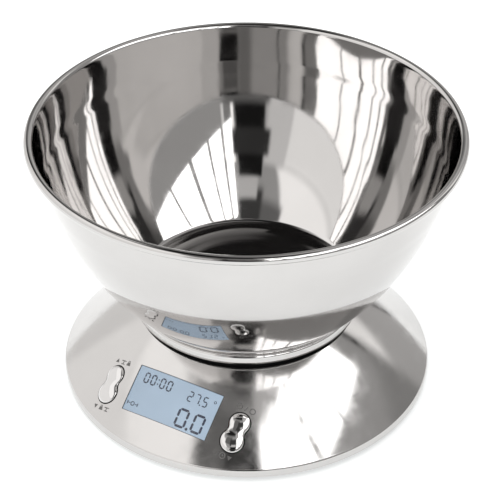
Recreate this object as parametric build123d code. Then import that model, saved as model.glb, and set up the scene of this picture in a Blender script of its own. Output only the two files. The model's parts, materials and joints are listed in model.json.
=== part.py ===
from build123d import *
import math
import os

# A digital kitchen scale with a lift-off bowl. Millimetres, +Z up, the front (display side) at -Y.
# The origin is on the table under the middle of the round base.

# Overall
BASE_R = 95.9            # outside radius of the steel cover's skirt
RIM_R = 108.0            # outside radius of the bowl's rolled rim
RIM_TOP = 143.6          # height of the rim above the table
SKIRT_BOTTOM = 3.0       # the skirt stops this far above the table
SKIRT_TOP = 7.0          # where the skirt turns into the dome
STEEL = 0.7              # pressed steel of the cover
TURN = 1.0               # radius between skirt and dome

# The cover's dome is an arc turned about Z. Its centre lies beyond the axis.
DOME_ARC_R = 302.0
DOME_ARC_AT = (-110.88, -213.20)
DOME_HOLE_R = 54.8
DOME_LIP = 2.6           # depth of the lip turned down round the hole

# Plastic inner shell and bottom housing
SHELL_GAP = 0.08         # adhesive between steel and shell
SHELL_WALL = 2.0
SHELL_R = 94.9
SHELL_HOLE_R = DOME_HOLE_R + 1.8
HOUSING_R = 95.0
FLOOR_BOTTOM, FLOOR_TOP = 2.6, 4.9
RIB_R, RIB_WALL, RIB_TOP = 70.0, 1.6, 9.0
CELL_BOSS_W, CELL_BOSS_D = 20.0, 18.0
PRESS = 0.05             # clearance between moulded parts that meet

# Feet
FOOT_R, FOOT_H, FOOT_AT_R = 8.0, 4.0, 78.0
FOOT_ANGLES = {"front_left": 225, "front_right": 315, "rear_left": 135, "rear_right": 45}

# Housing screws
SCREW_AT_R, SCREW_ANGLES = 83.0, (20, 160, 200, 340)
BOSS_R, SCREW_R, SCREW_HEAD_R, SCREW_HEAD_H, SCREW_TIP = 3.4, 1.4, 2.6, 1.15, 12.6
BIG_SCREW_HEAD_R, BIG_SCREW_HEAD_H = 3.5, 2.6      # the load cell's screws

# Platform
DISC_R, DISC_BOTTOM, DISC_TOP, DISC_STEEL, DISC_TURN = 58.4, 43.4, 48.0, 0.6, 1.6
COLLAR_R, COLLAR_WALL, COLLAR_BOTTOM = 53.0, 2.0, 35.2
PLATE_BOTTOM = 44.2
HUB_W, HUB_D, HUB_BOTTOM = 20.0, 17.0, 31.8
SPOKE_W, SPOKE_BOTTOM = 1.6, 38.5

# Load cell: an aluminium beam along X, fixed at -X and loaded at +X
BEAM_L, BEAM_W, BEAM_H, BEAM_BOTTOM, BEAM_Y = 80.0, 12.7, 12.7, 17.0, 8.0
BEAM_HOLES, BEAM_BORE_R = (27.5, 35.0), 2.1
FLEX_R, FLEX_AT, FLEX_SLOT = 4.6, 7.0, 4.0
SPACER_H = 2.0

# Bowl
SHEET = 0.8
RIM_TUBE = 4.5           # outside diameter of the rolled rim
WALL_SLOPE = 10.2        # degrees from upright, just below the rim
WALL_ARC_R = 160.7
WALL_BAND_Z = 134.65     # the straight band ends here and the curve begins
BOWL_BOTTOM = DISC_TOP
FOOT_TURN = 4.0
STEP_R, STEP_RISE = 39.0, 0.9

# Display, set out on a plane that is tangent to the dome in the middle of the window
DISPLAY_Y = -74.7
WINDOW_W, WINDOW_H, WINDOW_SLACK, WINDOW_RECESS = 48.4, 24.2, 0.15, 0.25
GLASS_W, GLASS_H, GLASS_T, GLASS_DEPTH = 50.6, 27.0, 2.0, 4.1
LIGHT_T = 3.0
HOLDER_W, HOLDER_H = 54.0, 31.0
BOARD_W, BOARD_H, BOARD_T, BOARD_DEPTH = 52.0, 33.0, 1.6, 9.8

# Rocker buttons, one each side of the display
ROCKER_X, ROCKER_Y = 36.4, -73.0
LOBE_UP_R, LOBE_DOWN_R, LOBE_AT = 5.1, 5.8, 4.75
WAIST_R = 4.2
ROCKER_PROUD, ROCKER_DEPTH = 1.5, 2.4
SLOT_SLACK = 0.5
PIN_DEPTH, PIN_R, PIN_L, PIN_FIT = 3.7, 0.8, 17.0, 0.06
LEG_R, LEG_DEPTH = 1.3, 6.2
SWITCH_W, SWITCH_TOP, SWITCH_BOTTOM, PLUNGER_R = 4.5, 6.8, 9.3, 1.0
SWITCH_GAP = 0.3
SWITCH_BOARD_W, SWITCH_BOARD_H, SWITCH_BOARD_T = 9.6, 17.0, 1.0

# Batteries: two AAA cells along X at the back, put in from below
CELL_R, CELL_L, CELL_Z, CELL_PITCH, CELL_Y = 5.25, 43.3, 9.75, 11.2, 60.0
BOX_L, BOX_D, BOX_WALL, BOX_ROOF = 51.0, 23.2, 1.5, 15.3
DOOR_SLACK, DOOR_T, LEDGE = 0.35, 1.5, 2.0
DOOR_BOTTOM = FLOOR_BOTTOM + 0.05
DOOR_L, DOOR_D = BOX_L + 2 * LEDGE - DOOR_SLACK, BOX_D + 2 * LEDGE - DOOR_SLACK
HINGE_Y, HINGE_Z = CELL_Y - DOOR_D / 2 + DOOR_T / 2, DOOR_BOTTOM + DOOR_T / 2
HINGE_PIN_R, HINGE_PIN_L, HINGE_FIT, HINGE_SNAP = 0.5, 1.4, 0.1, 0.45


def dome_height(r, depth=0.0):
    """Height of the dome, or of a surface that lies at a depth under it."""
    across = r - DOME_ARC_AT[0]
    return DOME_ARC_AT[1] + math.sqrt((DOME_ARC_R - depth) ** 2 - across**2)


def dome_arc(r_from, r_to, depth=0.0):
    """The dome's arc between two radii, in the XZ plane."""
    middle = (r_from + r_to) / 2
    ends = [(r, 0, dome_height(r, depth)) for r in (r_from, middle, r_to)]
    return ThreePointArc(*ends)


def turn(lines):
    """Turns a closed outline in the XZ plane about Z."""
    return revolve(make_face(lines), Axis.Z, 360)


def outline(*points):
    """A run of straight lines through points given as (radius, height)."""
    return Polyline(*[(r, 0, z) for r, z in points])


def ring(outer, inner, bottom, top):
    """A flat ring about Z."""
    return Pos(0, 0, bottom) * extrude(Circle(outer) - Circle(inner), top - bottom)


def rod(x, y, r, bottom, top):
    """An upright cylinder."""
    return Pos(x, y, (bottom + top) / 2) * Cylinder(r, top - bottom)


def block(x, y, width, depth, bottom, top):
    """An upright box centred on x, y."""
    return Pos(x, y, (bottom + top) / 2) * Box(width, depth, top - bottom)


def polar(r, degrees):
    return r * math.cos(math.radians(degrees)), r * math.sin(math.radians(degrees))


def under_dome(depth):
    """A solid that fills the space under the dome at a depth below its surface."""
    edge, low = BASE_R + 4, -30
    sides = outline((edge, dome_height(edge, depth)), (edge, low), (0, low), (0, dome_height(0, depth)))
    return turn([dome_arc(0, edge, depth), sides])


def display_plane(depth=0.0):
    """The display's plane: x across, y up the slope, z out of the dome."""
    tilt = math.atan((-DISPLAY_Y - DOME_ARC_AT[0]) / (dome_height(-DISPLAY_Y) - DOME_ARC_AT[1]))
    normal = Vector(0, -math.sin(tilt), math.cos(tilt))
    origin = Vector(0, DISPLAY_Y, dome_height(-DISPLAY_Y)) - normal * depth
    return Plane(origin=origin, x_dir=(1, 0, 0), z_dir=normal)


def rocker_plane(side, depth=0.0):
    """A rocker's plane: x is its pivot's direction, y up the slope, z out of the dome."""
    r = math.hypot(ROCKER_X, ROCKER_Y)
    slope = math.atan((r - DOME_ARC_AT[0]) / (dome_height(r) - DOME_ARC_AT[1]))
    normal = Vector(side * ROCKER_X / r * math.sin(slope), ROCKER_Y / r * math.sin(slope), math.cos(slope))
    along = Vector(1, 0, 0).cross(normal) * -1
    origin = Vector(side * ROCKER_X, ROCKER_Y, dome_height(r)) - normal * depth
    return Plane(origin=origin, x_dir=along.cross(normal), z_dir=normal)


def slab(plane, width, height, thickness, y=0.0):
    """A box hung down from a plane."""
    return plane * Pos(0, y, -thickness / 2) * Box(width, height, thickness)


def peanut(grow=0.0):
    """A rocker's outline: two round lobes joined by a waist that curves inwards."""
    up, down = LOBE_UP_R + grow, LOBE_DOWN_R + grow
    span = 2 * LOBE_AT
    reach_up, reach_down = up + WAIST_R - grow, down + WAIST_R - grow
    along = (reach_down**2 - reach_up**2 + span**2) / (2 * span)
    out = math.sqrt(reach_down**2 - along**2)
    waist_y = along - LOBE_AT
    joins_up = (out * up / reach_up, LOBE_AT + (waist_y - LOBE_AT) * up / reach_up)
    joins_down = (out * down / reach_down, -LOBE_AT + (waist_y + LOBE_AT) * down / reach_down)
    pinch = out - (WAIST_R - grow)
    edges = [
        ThreePointArc((-joins_up[0], joins_up[1]), (0, LOBE_AT + up), joins_up),
        ThreePointArc(joins_up, (pinch, waist_y), joins_down),
        ThreePointArc(joins_down, (0, -LOBE_AT - down), (-joins_down[0], joins_down[1])),
        ThreePointArc((-joins_down[0], joins_down[1]), (-pinch, waist_y), (-joins_up[0], joins_up[1])),
    ]
    return make_face(edges)


def top_cover():
    """Polished steel dome with a skirt, a hole in the middle and cut-outs for display and rockers."""
    knee = BASE_R - TURN
    brow = DOME_HOLE_R + 1.2                    # where the dome turns down into the lip
    bend = DOME_HOLE_R + 1.6                    # the same turn on the steel's underside
    top, brow_drop, bend_drop = dome_height(brow), 0.7, 1.0
    inside, lip_inside = BASE_R - STEEL, DOME_HOLE_R + STEEL
    outer = [
        Line((BASE_R, 0, SKIRT_BOTTOM), (BASE_R, 0, SKIRT_TOP - TURN)),
        ThreePointArc((BASE_R, 0, SKIRT_TOP - TURN), (BASE_R - TURN * 0.32, 0, SKIRT_TOP + TURN * 0.1),
                      (knee, 0, dome_height(knee))),
        dome_arc(knee, brow),
        ThreePointArc((brow, 0, top), (DOME_HOLE_R + 0.35, 0, top + 0.1), (DOME_HOLE_R, 0, top - brow_drop)),
    ]
    inner = [
        outline((DOME_HOLE_R, top - brow_drop), (DOME_HOLE_R, top - DOME_LIP), (lip_inside, top - DOME_LIP),
                (lip_inside, top - bend_drop), (bend, dome_height(bend, STEEL))),
        dome_arc(bend, inside, STEEL),
        outline((inside, dome_height(inside, STEEL)), (inside, SKIRT_BOTTOM), (BASE_R, SKIRT_BOTTOM)),
    ]
    shell = turn(outer + inner)
    shell -= slab(display_plane(-5), WINDOW_W, WINDOW_H, 20)
    for side in (-1, 1):
        shell -= rocker_plane(side, 8) * extrude(peanut(SLOT_SLACK), 14)
    return shell


def inner_shell():
    """Moulded shell under the steel: carries the display, the rockers' pins and the screw bosses."""
    top, under = STEEL + SHELL_GAP, STEEL + SHELL_GAP + SHELL_WALL
    shell_hole, shell_edge, seat = SHELL_HOLE_R + 0.8, SHELL_R - SHELL_WALL, FLOOR_TOP + PRESS
    shell = turn([
        dome_arc(SHELL_R, SHELL_HOLE_R, top),
        outline((SHELL_HOLE_R, dome_height(SHELL_HOLE_R, top)),
                (SHELL_HOLE_R, dome_height(shell_hole, under)),
                (shell_hole, dome_height(shell_hole, under))),
        dome_arc(shell_hole, shell_edge, under),
        outline((shell_edge, dome_height(shell_edge, under)), (shell_edge, seat), (SHELL_R, seat),
                (SHELL_R, dome_height(SHELL_R, top))),
    ])
    room = under_dome(top + 0.3)
    spots = [polar(SCREW_AT_R, angle) for angle in SCREW_ANGLES]
    for x, y in spots:
        shell += rod(x, y, BOSS_R, FLOOR_TOP + 2 * PRESS, 40) & room
    for side in (-1, 1):
        ear_w, ear_h, ear_t = PIN_L + 1.6, 4.0, PIN_DEPTH + 0.6
        shell += slab(rocker_plane(side, 1.5), ear_w, ear_h, ear_t) & room
    shell -= slab(display_plane(-5), HOLDER_W + 0.5, HOLDER_H + 0.5, 30)
    for x, y in spots:
        shell -= rod(x, y, SCREW_R + 0.03, FLOOR_TOP, SCREW_TIP + 0.6)
    for side in (-1, 1):
        well = peanut(1.6)
        shell -= rocker_plane(side, 12) * extrude(well, 16)
        shell -= rocker_plane(side, PIN_DEPTH) * Rot(0, 90, 0) * Cylinder(PIN_R + 0.02, PIN_L + 0.3)
    return shell


def bottom_housing():
    """Moulded tray: floor, rib, load cell boss, battery box, foot pockets and screw holes."""
    tray = rod(0, 0, HOUSING_R, FLOOR_BOTTOM, FLOOR_TOP)
    rib = ring(RIB_R, RIB_R - RIB_WALL, FLOOR_TOP, RIB_TOP)
    rib -= block(0, CELL_Y, BOX_L + 9, 40, 0, 30)
    tray += rib - block(0, DISPLAY_Y, 96, 40, 0, 30)
    boss_x = -sum(BEAM_HOLES) / 2
    tray += block(boss_x, BEAM_Y, CELL_BOSS_W, CELL_BOSS_D, FLOOR_TOP, BEAM_BOTTOM - SPACER_H)
    for reach in (-12, 12):
        tray += block(boss_x, BEAM_Y + reach, RIB_WALL, 32, FLOOR_TOP, RIB_TOP + 2)
    for hole in BEAM_HOLES:
        head_room = BIG_SCREW_HEAD_R + 0.2
        tray -= rod(-hole, BEAM_Y, BEAM_BORE_R, 0, 30)
        tray -= rod(-hole, BEAM_Y, head_room, 0, 5.8 + BIG_SCREW_HEAD_H)
    tray += battery_box()
    tray -= battery_room()
    for angle in FOOT_ANGLES.values():
        x, y = polar(FOOT_AT_R, angle)
        tray += rod(x, y, FOOT_R + RIB_WALL, FLOOR_TOP, FLOOR_TOP + 1.0)
        tray -= rod(x, y, FOOT_R + PRESS, 0, FOOT_H)
    for angle in SCREW_ANGLES:
        x, y = polar(SCREW_AT_R, angle)
        tray -= rod(x, y, SCREW_R + 0.2, 0, 12)
        tray -= rod(x, y, SCREW_HEAD_R + 0.2, 0, FLOOR_BOTTOM + SCREW_HEAD_H + PRESS)
    return tray


def battery_box():
    """Walls and roof over the cells, and a thick rim round the door."""
    walls = block(0, CELL_Y, BOX_L + 2 * BOX_WALL, BOX_D + 2 * BOX_WALL, FLOOR_TOP, BOX_ROOF + BOX_WALL)
    rim = 2 * LEDGE + 4
    return walls + block(0, CELL_Y, BOX_L + rim, BOX_D + rim, FLOOR_BOTTOM, FLOOR_TOP + 1.2)


def battery_room():
    """What the cells, the door and the door's snap-in hinge pins take out of the housing."""
    room = block(0, CELL_Y, BOX_L, BOX_D, -1, BOX_ROOF)
    door_l, door_d = DOOR_L + 2 * DOOR_SLACK, DOOR_D + 2 * DOOR_SLACK
    room += block(0, CELL_Y, door_l, door_d, 0, DOOR_BOTTOM + DOOR_T + 0.25)
    reach = DOOR_L + 2 * HINGE_PIN_L + 2 * HINGE_FIT
    room += Pos(0, HINGE_Y, HINGE_Z) * Rot(0, 90, 0) * Cylinder(HINGE_PIN_R + HINGE_FIT, reach)
    return room + block(0, HINGE_Y, reach, 2 * HINGE_SNAP, 0, HINGE_Z)


def screw(x, y, shank_r, head_r, head_bottom, head_h, tip, drive_r):
    """A pan-head screw that points up, with a cross recess in its head."""
    body = rod(x, y, shank_r, head_bottom + head_h, tip - shank_r)
    body += rod(x, y, head_r, head_bottom, head_bottom + head_h)
    body += Pos(x, y, tip - shank_r / 2) * Cone(shank_r, shank_r * 0.3, shank_r)
    cross = Box(2 * drive_r, drive_r * 0.4, 1.2) + Box(drive_r * 0.4, 2 * drive_r, 1.2)
    body -= Pos(x, y, head_bottom + 0.3) * cross
    return body


def turned_over(shape, height):
    """Turns a shape upside down about a level line at a height."""
    return Pos(0, 0, height) * Rot(180, 0, 0) * Pos(0, 0, -height) * shape


def housing_screws():
    spots = [polar(SCREW_AT_R, angle) for angle in SCREW_ANGLES]
    return [screw(x, y, SCREW_R, SCREW_HEAD_R, FLOOR_BOTTOM, SCREW_HEAD_H, SCREW_TIP, 1.6) for x, y in spots]


def foot(angle):
    x, y = polar(FOOT_AT_R, angle)
    pad = rod(x, y, FOOT_R, 0, FOOT_H)
    return fillet(pad.edges().filter_by(GeomType.CIRCLE).sort_by(Axis.Z)[0], 0.8)


def load_cell():
    """Aluminium beam with a pair of joined bores in the middle and four tapped holes."""
    beam = block(0, BEAM_Y, BEAM_L, BEAM_W, BEAM_BOTTOM, BEAM_BOTTOM + BEAM_H)
    beam = fillet(beam.edges().filter_by(Axis.X), 0.4)
    middle = BEAM_BOTTOM + BEAM_H / 2
    for x in (-FLEX_AT, FLEX_AT):
        beam -= Pos(x, BEAM_Y, middle) * Rot(90, 0, 0) * Cylinder(FLEX_R, BEAM_W + 2)
    beam -= Pos(0, BEAM_Y, middle) * Box(2 * FLEX_AT, BEAM_W + 2, FLEX_SLOT)
    for hole in BEAM_HOLES:
        for side in (-1, 1):
            beam -= rod(side * hole, BEAM_Y, BEAM_BORE_R, 0, 40)
    return beam


def beam_spacer(side, bottom):
    plate = block(side * sum(BEAM_HOLES) / 2, BEAM_Y, 16, BEAM_W, bottom, bottom + SPACER_H)
    for hole in BEAM_HOLES:
        plate -= rod(side * hole, BEAM_Y, BEAM_BORE_R + 0.1, 0, 50)
    return plate


def fixed_end_screws():
    shank, tip = BEAM_BORE_R - 0.08, BEAM_BOTTOM + 10
    head = (BIG_SCREW_HEAD_R, 5.8, BIG_SCREW_HEAD_H)
    return [screw(-hole, BEAM_Y, shank, *head, tip, 1.9) for hole in BEAM_HOLES]


def strain_gauges():
    """Four foil gauges over the thin walls of the beam, two on top and two below."""
    pads = []
    for x in (-FLEX_AT, FLEX_AT):
        pads.append(block(x, BEAM_Y, 7, 6, BEAM_BOTTOM + BEAM_H, BEAM_BOTTOM + BEAM_H + 0.3))
        pads.append(block(x, BEAM_Y, 7, 6, BEAM_BOTTOM - 0.3, BEAM_BOTTOM))
    return pads


def gauge_sealant():
    """White sealant bead over the upper gauges' solder joints."""
    top = BEAM_BOTTOM + BEAM_H + 0.3
    bead = block(0, BEAM_Y, 24, 9, top, top + 1.2)
    return fillet(bead.edges().filter_by(Axis.Z) + bead.faces().sort_by(Axis.Z)[-1].edges(), 0.5)


def platform_carrier():
    """Black moulded carrier under the steel disc, with a collar in the dome's hole and a hub."""
    inside = DISC_R - DISC_STEEL - 0.1
    under = DISC_TOP - DISC_STEEL
    carrier = rod(0, 0, inside, PLATE_BOTTOM, under - DISC_TURN)
    carrier += rod(0, 0, inside - DISC_TURN, PLATE_BOTTOM, under - PRESS)
    carrier += ring(COLLAR_R, COLLAR_R - COLLAR_WALL, COLLAR_BOTTOM, PLATE_BOTTOM)
    carrier += block(sum(BEAM_HOLES) / 2, BEAM_Y, HUB_W, HUB_D, HUB_BOTTOM, PLATE_BOTTOM)
    spoke = block(0, 0, 2 * COLLAR_R - 3, SPOKE_W, SPOKE_BOTTOM, PLATE_BOTTOM)
    for angle in (0, 60, 120):
        carrier += Rot(0, 0, angle) * spoke
    for hole in BEAM_HOLES:
        head_room = BIG_SCREW_HEAD_R + 0.3
        carrier -= rod(hole, BEAM_Y, BEAM_BORE_R + 0.1, 20, 60)
        carrier -= rod(hole, BEAM_Y, head_room, DISC_TOP - 5.5, 60)
    return carrier


def platform_disc():
    """Polished steel cap over the carrier, with a rounded shoulder."""
    corner = DISC_R - DISC_TURN
    soft = DISC_TURN * (1 - math.sqrt(0.5))
    inner_turn = DISC_TURN - DISC_STEEL
    inner_soft = inner_turn * (1 - math.sqrt(0.5))
    inside = DISC_R - DISC_STEEL
    under = DISC_TOP - DISC_STEEL
    return turn([
        Line((0, 0, DISC_TOP), (corner, 0, DISC_TOP)),
        ThreePointArc((corner, 0, DISC_TOP), (DISC_R - soft, 0, DISC_TOP - soft),
                      (DISC_R, 0, DISC_TOP - DISC_TURN)),
        Line((DISC_R, 0, DISC_TOP - DISC_TURN), (DISC_R, 0, DISC_BOTTOM)),
        Line((DISC_R, 0, DISC_BOTTOM), (inside, 0, DISC_BOTTOM)),
        Line((inside, 0, DISC_BOTTOM), (inside, 0, under - inner_turn)),
        ThreePointArc((inside, 0, under - inner_turn), (inside - inner_soft, 0, under - inner_soft),
                      (inside - inner_turn, 0, under)),
        Line((inside - inner_turn, 0, under), (0, 0, under)),
        Line((0, 0, under), (0, 0, DISC_TOP)),
    ])


def platform_screws():
    top, tip, level = DISC_TOP - 2.9, BEAM_BOTTOM + 3, 30
    shank, head_h = BEAM_BORE_R - 0.08, 2.4
    upright = [screw(hole, -BEAM_Y, shank, BIG_SCREW_HEAD_R, 2 * level - top, head_h, 2 * level - tip, 1.9)
               for hole in BEAM_HOLES]
    return [turned_over(one, level) for one in upright]


def bowl():
    """Pressed steel bowl: flat bottom with a raised centre, a curved wall and a rolled rim."""
    tube = RIM_TUBE / 2
    lean = math.radians(WALL_SLOPE)
    rim_at = (RIM_R - tube, RIM_TOP - tube)
    out, along = (math.cos(lean), -math.sin(lean)), (math.sin(lean), math.cos(lean))
    # The wall's outer skin runs down from the rim's inner side, then follows the arc.
    start = (rim_at[0] - out[0] * (tube - SHEET), rim_at[1] - out[1] * (tube - SHEET))
    run = (start[1] - WALL_BAND_Z) / along[1]
    band = (start[0] - along[0] * run, WALL_BAND_Z)
    centre = (band[0] - out[0] * WALL_ARC_R, band[1] - out[1] * WALL_ARC_R)

    def at(angle, radius, middle=centre):
        return middle[0] + radius * math.cos(angle), 0, middle[1] - radius * math.sin(angle)

    # The corner between wall and bottom is an arc tangent to both.
    corner_z = BOWL_BOTTOM + FOOT_TURN
    drop = centre[1] - corner_z
    reach = WALL_ARC_R - FOOT_TURN
    low = math.asin(drop / reach)
    corner = (centre[0] + reach * math.cos(low), corner_z)
    half = (lean + low) / 2
    turned = (low + math.pi / 2) / 2

    def corner_at(angle, radius):
        return at(angle, radius, corner)

    inner = BOWL_BOTTOM + SHEET
    slope = 1.2
    outside = [
        Line((start[0], 0, start[1]), (band[0], 0, band[1])),
        ThreePointArc(at(lean, WALL_ARC_R), at(half, WALL_ARC_R), at(low, WALL_ARC_R)),
        ThreePointArc(corner_at(low, FOOT_TURN), corner_at(turned, FOOT_TURN), (corner[0], 0, BOWL_BOTTOM)),
        Line((corner[0], 0, BOWL_BOTTOM), (STEP_R, 0, BOWL_BOTTOM)),
        Line((STEP_R, 0, BOWL_BOTTOM), (STEP_R - slope, 0, BOWL_BOTTOM + STEP_RISE)),
        Line((STEP_R - slope, 0, BOWL_BOTTOM + STEP_RISE), (0, 0, BOWL_BOTTOM + STEP_RISE)),
        Line((0, 0, BOWL_BOTTOM + STEP_RISE), (0, 0, inner + STEP_RISE)),
    ]
    skin = WALL_ARC_R - SHEET
    inner_start = (start[0] - out[0] * SHEET, start[1] - out[1] * SHEET)
    inside = [
        Line((0, 0, inner + STEP_RISE), (STEP_R - slope - 0.2, 0, inner + STEP_RISE)),
        Line((STEP_R - slope - 0.2, 0, inner + STEP_RISE), (STEP_R - 0.2, 0, inner)),
        Line((STEP_R - 0.2, 0, inner), (corner[0], 0, inner)),
        ThreePointArc((corner[0], 0, inner), corner_at(turned, FOOT_TURN - SHEET),
                      corner_at(low, FOOT_TURN - SHEET)),
        ThreePointArc(at(low, skin), at(half, skin), at(lean, skin)),
        Line(at(lean, skin), (inner_start[0], 0, inner_start[1])),
    ]
    # The rim is rolled outwards and under, nearly closed on itself.
    end = math.radians(-130)
    begin = math.radians(180) + lean * -1
    top = (begin + end) / 2

    def rim(angle, radius):
        return rim_at[0] + radius * math.cos(angle), 0, rim_at[1] + radius * math.sin(angle)

    roll = [
        ThreePointArc(rim(begin, tube), rim(top, tube), rim(end, tube)),
        Line(rim(end, tube), rim(end, tube - SHEET)),
        ThreePointArc(rim(end, tube - SHEET), rim(top, tube - SHEET), rim(begin, tube - SHEET)),
    ]
    return turn(outside + inside + roll)


def display_window():
    """Clear moulded window: its face follows the dome and its back is flat."""
    block_ = slab(display_plane(-3), WINDOW_W - 2 * WINDOW_SLACK, WINDOW_H - 2 * WINDOW_SLACK,
                  3 + GLASS_DEPTH - 0.1)
    return block_ & under_dome(WINDOW_RECESS)


def display_holder():
    """Black frame that locates the display's glass, the light panel and the board."""
    depth = BOARD_DEPTH - 0.1
    frame = slab(display_plane(GLASS_DEPTH), HOLDER_W, HOLDER_H, depth - GLASS_DEPTH)
    frame -= slab(display_plane(GLASS_DEPTH - 1), GLASS_W + 0.2, GLASS_H + 0.2, 12)
    return frame & under_dome(STEEL + 0.1)


def display_glass():
    """Two sheets of glass, the front one shorter, leaving the contact edge bare."""
    back = slab(display_plane(GLASS_DEPTH + GLASS_T / 2), GLASS_W, GLASS_H, GLASS_T / 2)
    front = slab(display_plane(GLASS_DEPTH), GLASS_W, GLASS_H, GLASS_T / 2)
    return back + front


def backlight_panel():
    return slab(display_plane(GLASS_DEPTH + GLASS_T + 0.05), GLASS_W - 0.4, GLASS_H - 3.6, LIGHT_T, y=1.6)


def contact_strip():
    """Striped rubber strip that joins the glass to the board along the lower edge."""
    depth = GLASS_DEPTH + GLASS_T
    return slab(display_plane(depth), 44, 1.8, BOARD_DEPTH - depth, y=-GLASS_H / 2 + 1.2)


def main_board():
    board = slab(display_plane(BOARD_DEPTH), BOARD_W, BOARD_H, BOARD_T)
    for x in (-24, 24):
        for y in (-14.6, 14.6):
            board -= display_plane(BOARD_DEPTH - 1) * Pos(x, y, -2) * Cylinder(0.9, 8)
    return board


def board_screws():
    screws = []
    for x in (-24, 24):
        for y in (-14.6, 14.6):
            head = display_plane(BOARD_DEPTH + BOARD_T) * Pos(x, y, -0.5) * Cylinder(1.6, 1.0)
            shank = display_plane(BOARD_DEPTH + BOARD_T) * Pos(x, y, BOARD_T / 2) * Cylinder(0.8, BOARD_T)
            screws.append(head + shank)
    return screws


def controller_chip():
    """Chip under a drop of black resin."""
    plane = display_plane(BOARD_DEPTH + BOARD_T) * Pos(-6, 2, -0.75)
    return plane * Cylinder(5, 1.5) & plane * Pos(0, 0, 0.75) * Sphere(7)


def buzzer():
    """Piezo buzzer in a round can with a sound hole."""
    plane = display_plane(BOARD_DEPTH + BOARD_T) * Pos(13, 2, 0)
    return plane * Pos(0, 0, -1.5) * Cylinder(6, 3) - plane * Pos(0, 0, -2.6) * Cylinder(1.1, 2)


def thermistor():
    """Temperature bead on two legs."""
    plane = display_plane(BOARD_DEPTH + BOARD_T) * Pos(0, -12, 0)
    bead = plane * Pos(0, 0, -2.2) * Sphere(1.2)
    for x in (-0.6, 0.6):
        bead += plane * Pos(x, 0, -1) * Cylinder(0.25, 2)
    return bead


def rocker(side):
    """A two-lobed rocker with a bore for its pin and a leg over each switch."""
    top = rocker_plane(side, ROCKER_DEPTH)
    body = extrude(peanut(), ROCKER_DEPTH + ROCKER_PROUD)
    body = fillet(body.faces().sort_by(Axis.Z)[-1].edges(), 1.4)
    body = top * body
    body += rocker_plane(side, PIN_DEPTH + 1.6) * Pos(0, 0, 1.5) * Box(6.0, 4.2, 3.0)
    for y in (-LOBE_AT, LOBE_AT):
        length = LEG_DEPTH - ROCKER_DEPTH
        body += rocker_plane(side, ROCKER_DEPTH + length / 2) * Pos(0, y, 0) * Cylinder(LEG_R, length)
    body -= rocker_plane(side, PIN_DEPTH) * Rot(0, 90, 0) * Cylinder(PIN_R + PIN_FIT, 20)
    return body


def rocker_pin(side):
    return rocker_plane(side, PIN_DEPTH) * Rot(0, 90, 0) * Cylinder(PIN_R, PIN_L)


def switches(side):
    """Two small push switches, one under each leg."""
    pair = []
    for y in (-LOBE_AT, LOBE_AT):
        height = SWITCH_BOTTOM - SWITCH_TOP
        middle = rocker_plane(side, (SWITCH_BOTTOM + SWITCH_TOP) / 2) * Pos(0, y, 0)
        case = middle * Box(SWITCH_W, SWITCH_W, height)
        stem = SWITCH_TOP - LEG_DEPTH - SWITCH_GAP
        case += rocker_plane(side, SWITCH_TOP - stem / 2) * Pos(0, y, 0) * Cylinder(PLUNGER_R, stem)
        pair.append(case)
    return pair


def switch_board(side):
    return slab(rocker_plane(side, SWITCH_BOTTOM), SWITCH_BOARD_W, SWITCH_BOARD_H, SWITCH_BOARD_T)


def battery_cell(row):
    """A dry cell along X, its plus end at +X in one row and at -X in the other."""
    y = CELL_Y + row * CELL_PITCH / 2
    can = Pos(0, y, CELL_Z) * Rot(0, 90, 0) * Cylinder(CELL_R, CELL_L)
    can = fillet(can.edges(), 0.5)
    nub = Pos(row * (CELL_L / 2 + 0.5), y, CELL_Z) * Rot(0, 90, 0) * Cylinder(1.9, 1.0)
    return can + nub


def battery_contacts():
    """Plate contacts at the plus ends and coil springs with plates at the minus ends."""
    contacts = []
    for row in (-1, 1):
        y = CELL_Y + row * CELL_PITCH / 2
        plus = Pos(row * (CELL_L / 2 + 1.25), y, CELL_Z) * Box(0.4, 8, 8)
        contacts.append(plus)
        minus = Pos(-row * (BOX_L / 2 - 0.25), y, CELL_Z) * Box(0.4, 8, 8)
        length = BOX_L / 2 - 0.45 - CELL_L / 2
        spring = Pos(-row * (CELL_L / 2 + length / 2), y, CELL_Z) * Rot(0, 90, 0) * Cone(3.2, 2.2, length)
        core = Pos(-row * (CELL_L / 2 + length / 2), y, CELL_Z) * Rot(0, 90, 0) * Cylinder(1.6, length + 2)
        for turn_ in range(3):
            at = CELL_L / 2 + 0.6 + turn_ * 1.2
            groove = Pos(-row * at, y, CELL_Z) * Rot(0, 90, 0) * (Cylinder(4, 0.35) - Cylinder(2.0, 1))
            spring -= groove
        contacts.append(minus + (spring - core))
    return contacts


def battery_door():
    """Flat door in the floor: round inner edge on two snap-in pins, thumb grooves at the outer edge."""
    straight = DOOR_D - DOOR_T / 2
    door = block(0, CELL_Y + DOOR_T / 4, DOOR_L, straight, DOOR_BOTTOM, DOOR_BOTTOM + DOOR_T)
    axis = Pos(0, HINGE_Y, HINGE_Z) * Rot(0, 90, 0)
    door += axis * Cylinder(DOOR_T / 2, DOOR_L)
    door += axis * Cylinder(HINGE_PIN_R, DOOR_L + 2 * HINGE_PIN_L)
    for groove in range(4):
        door -= block(0, CELL_Y + DOOR_D / 2 - 3.5 - groove * 1.4, 14, 0.6, 0, DOOR_BOTTOM + 0.3)
    return door


def wire(points, radius, bend):
    """A round wire along straight runs joined by arcs."""
    path = FilletPolyline(*points, radius=bend)
    start = Plane(origin=path @ 0, z_dir=path % 0)
    return sweep(start * Circle(radius), path)


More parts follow.
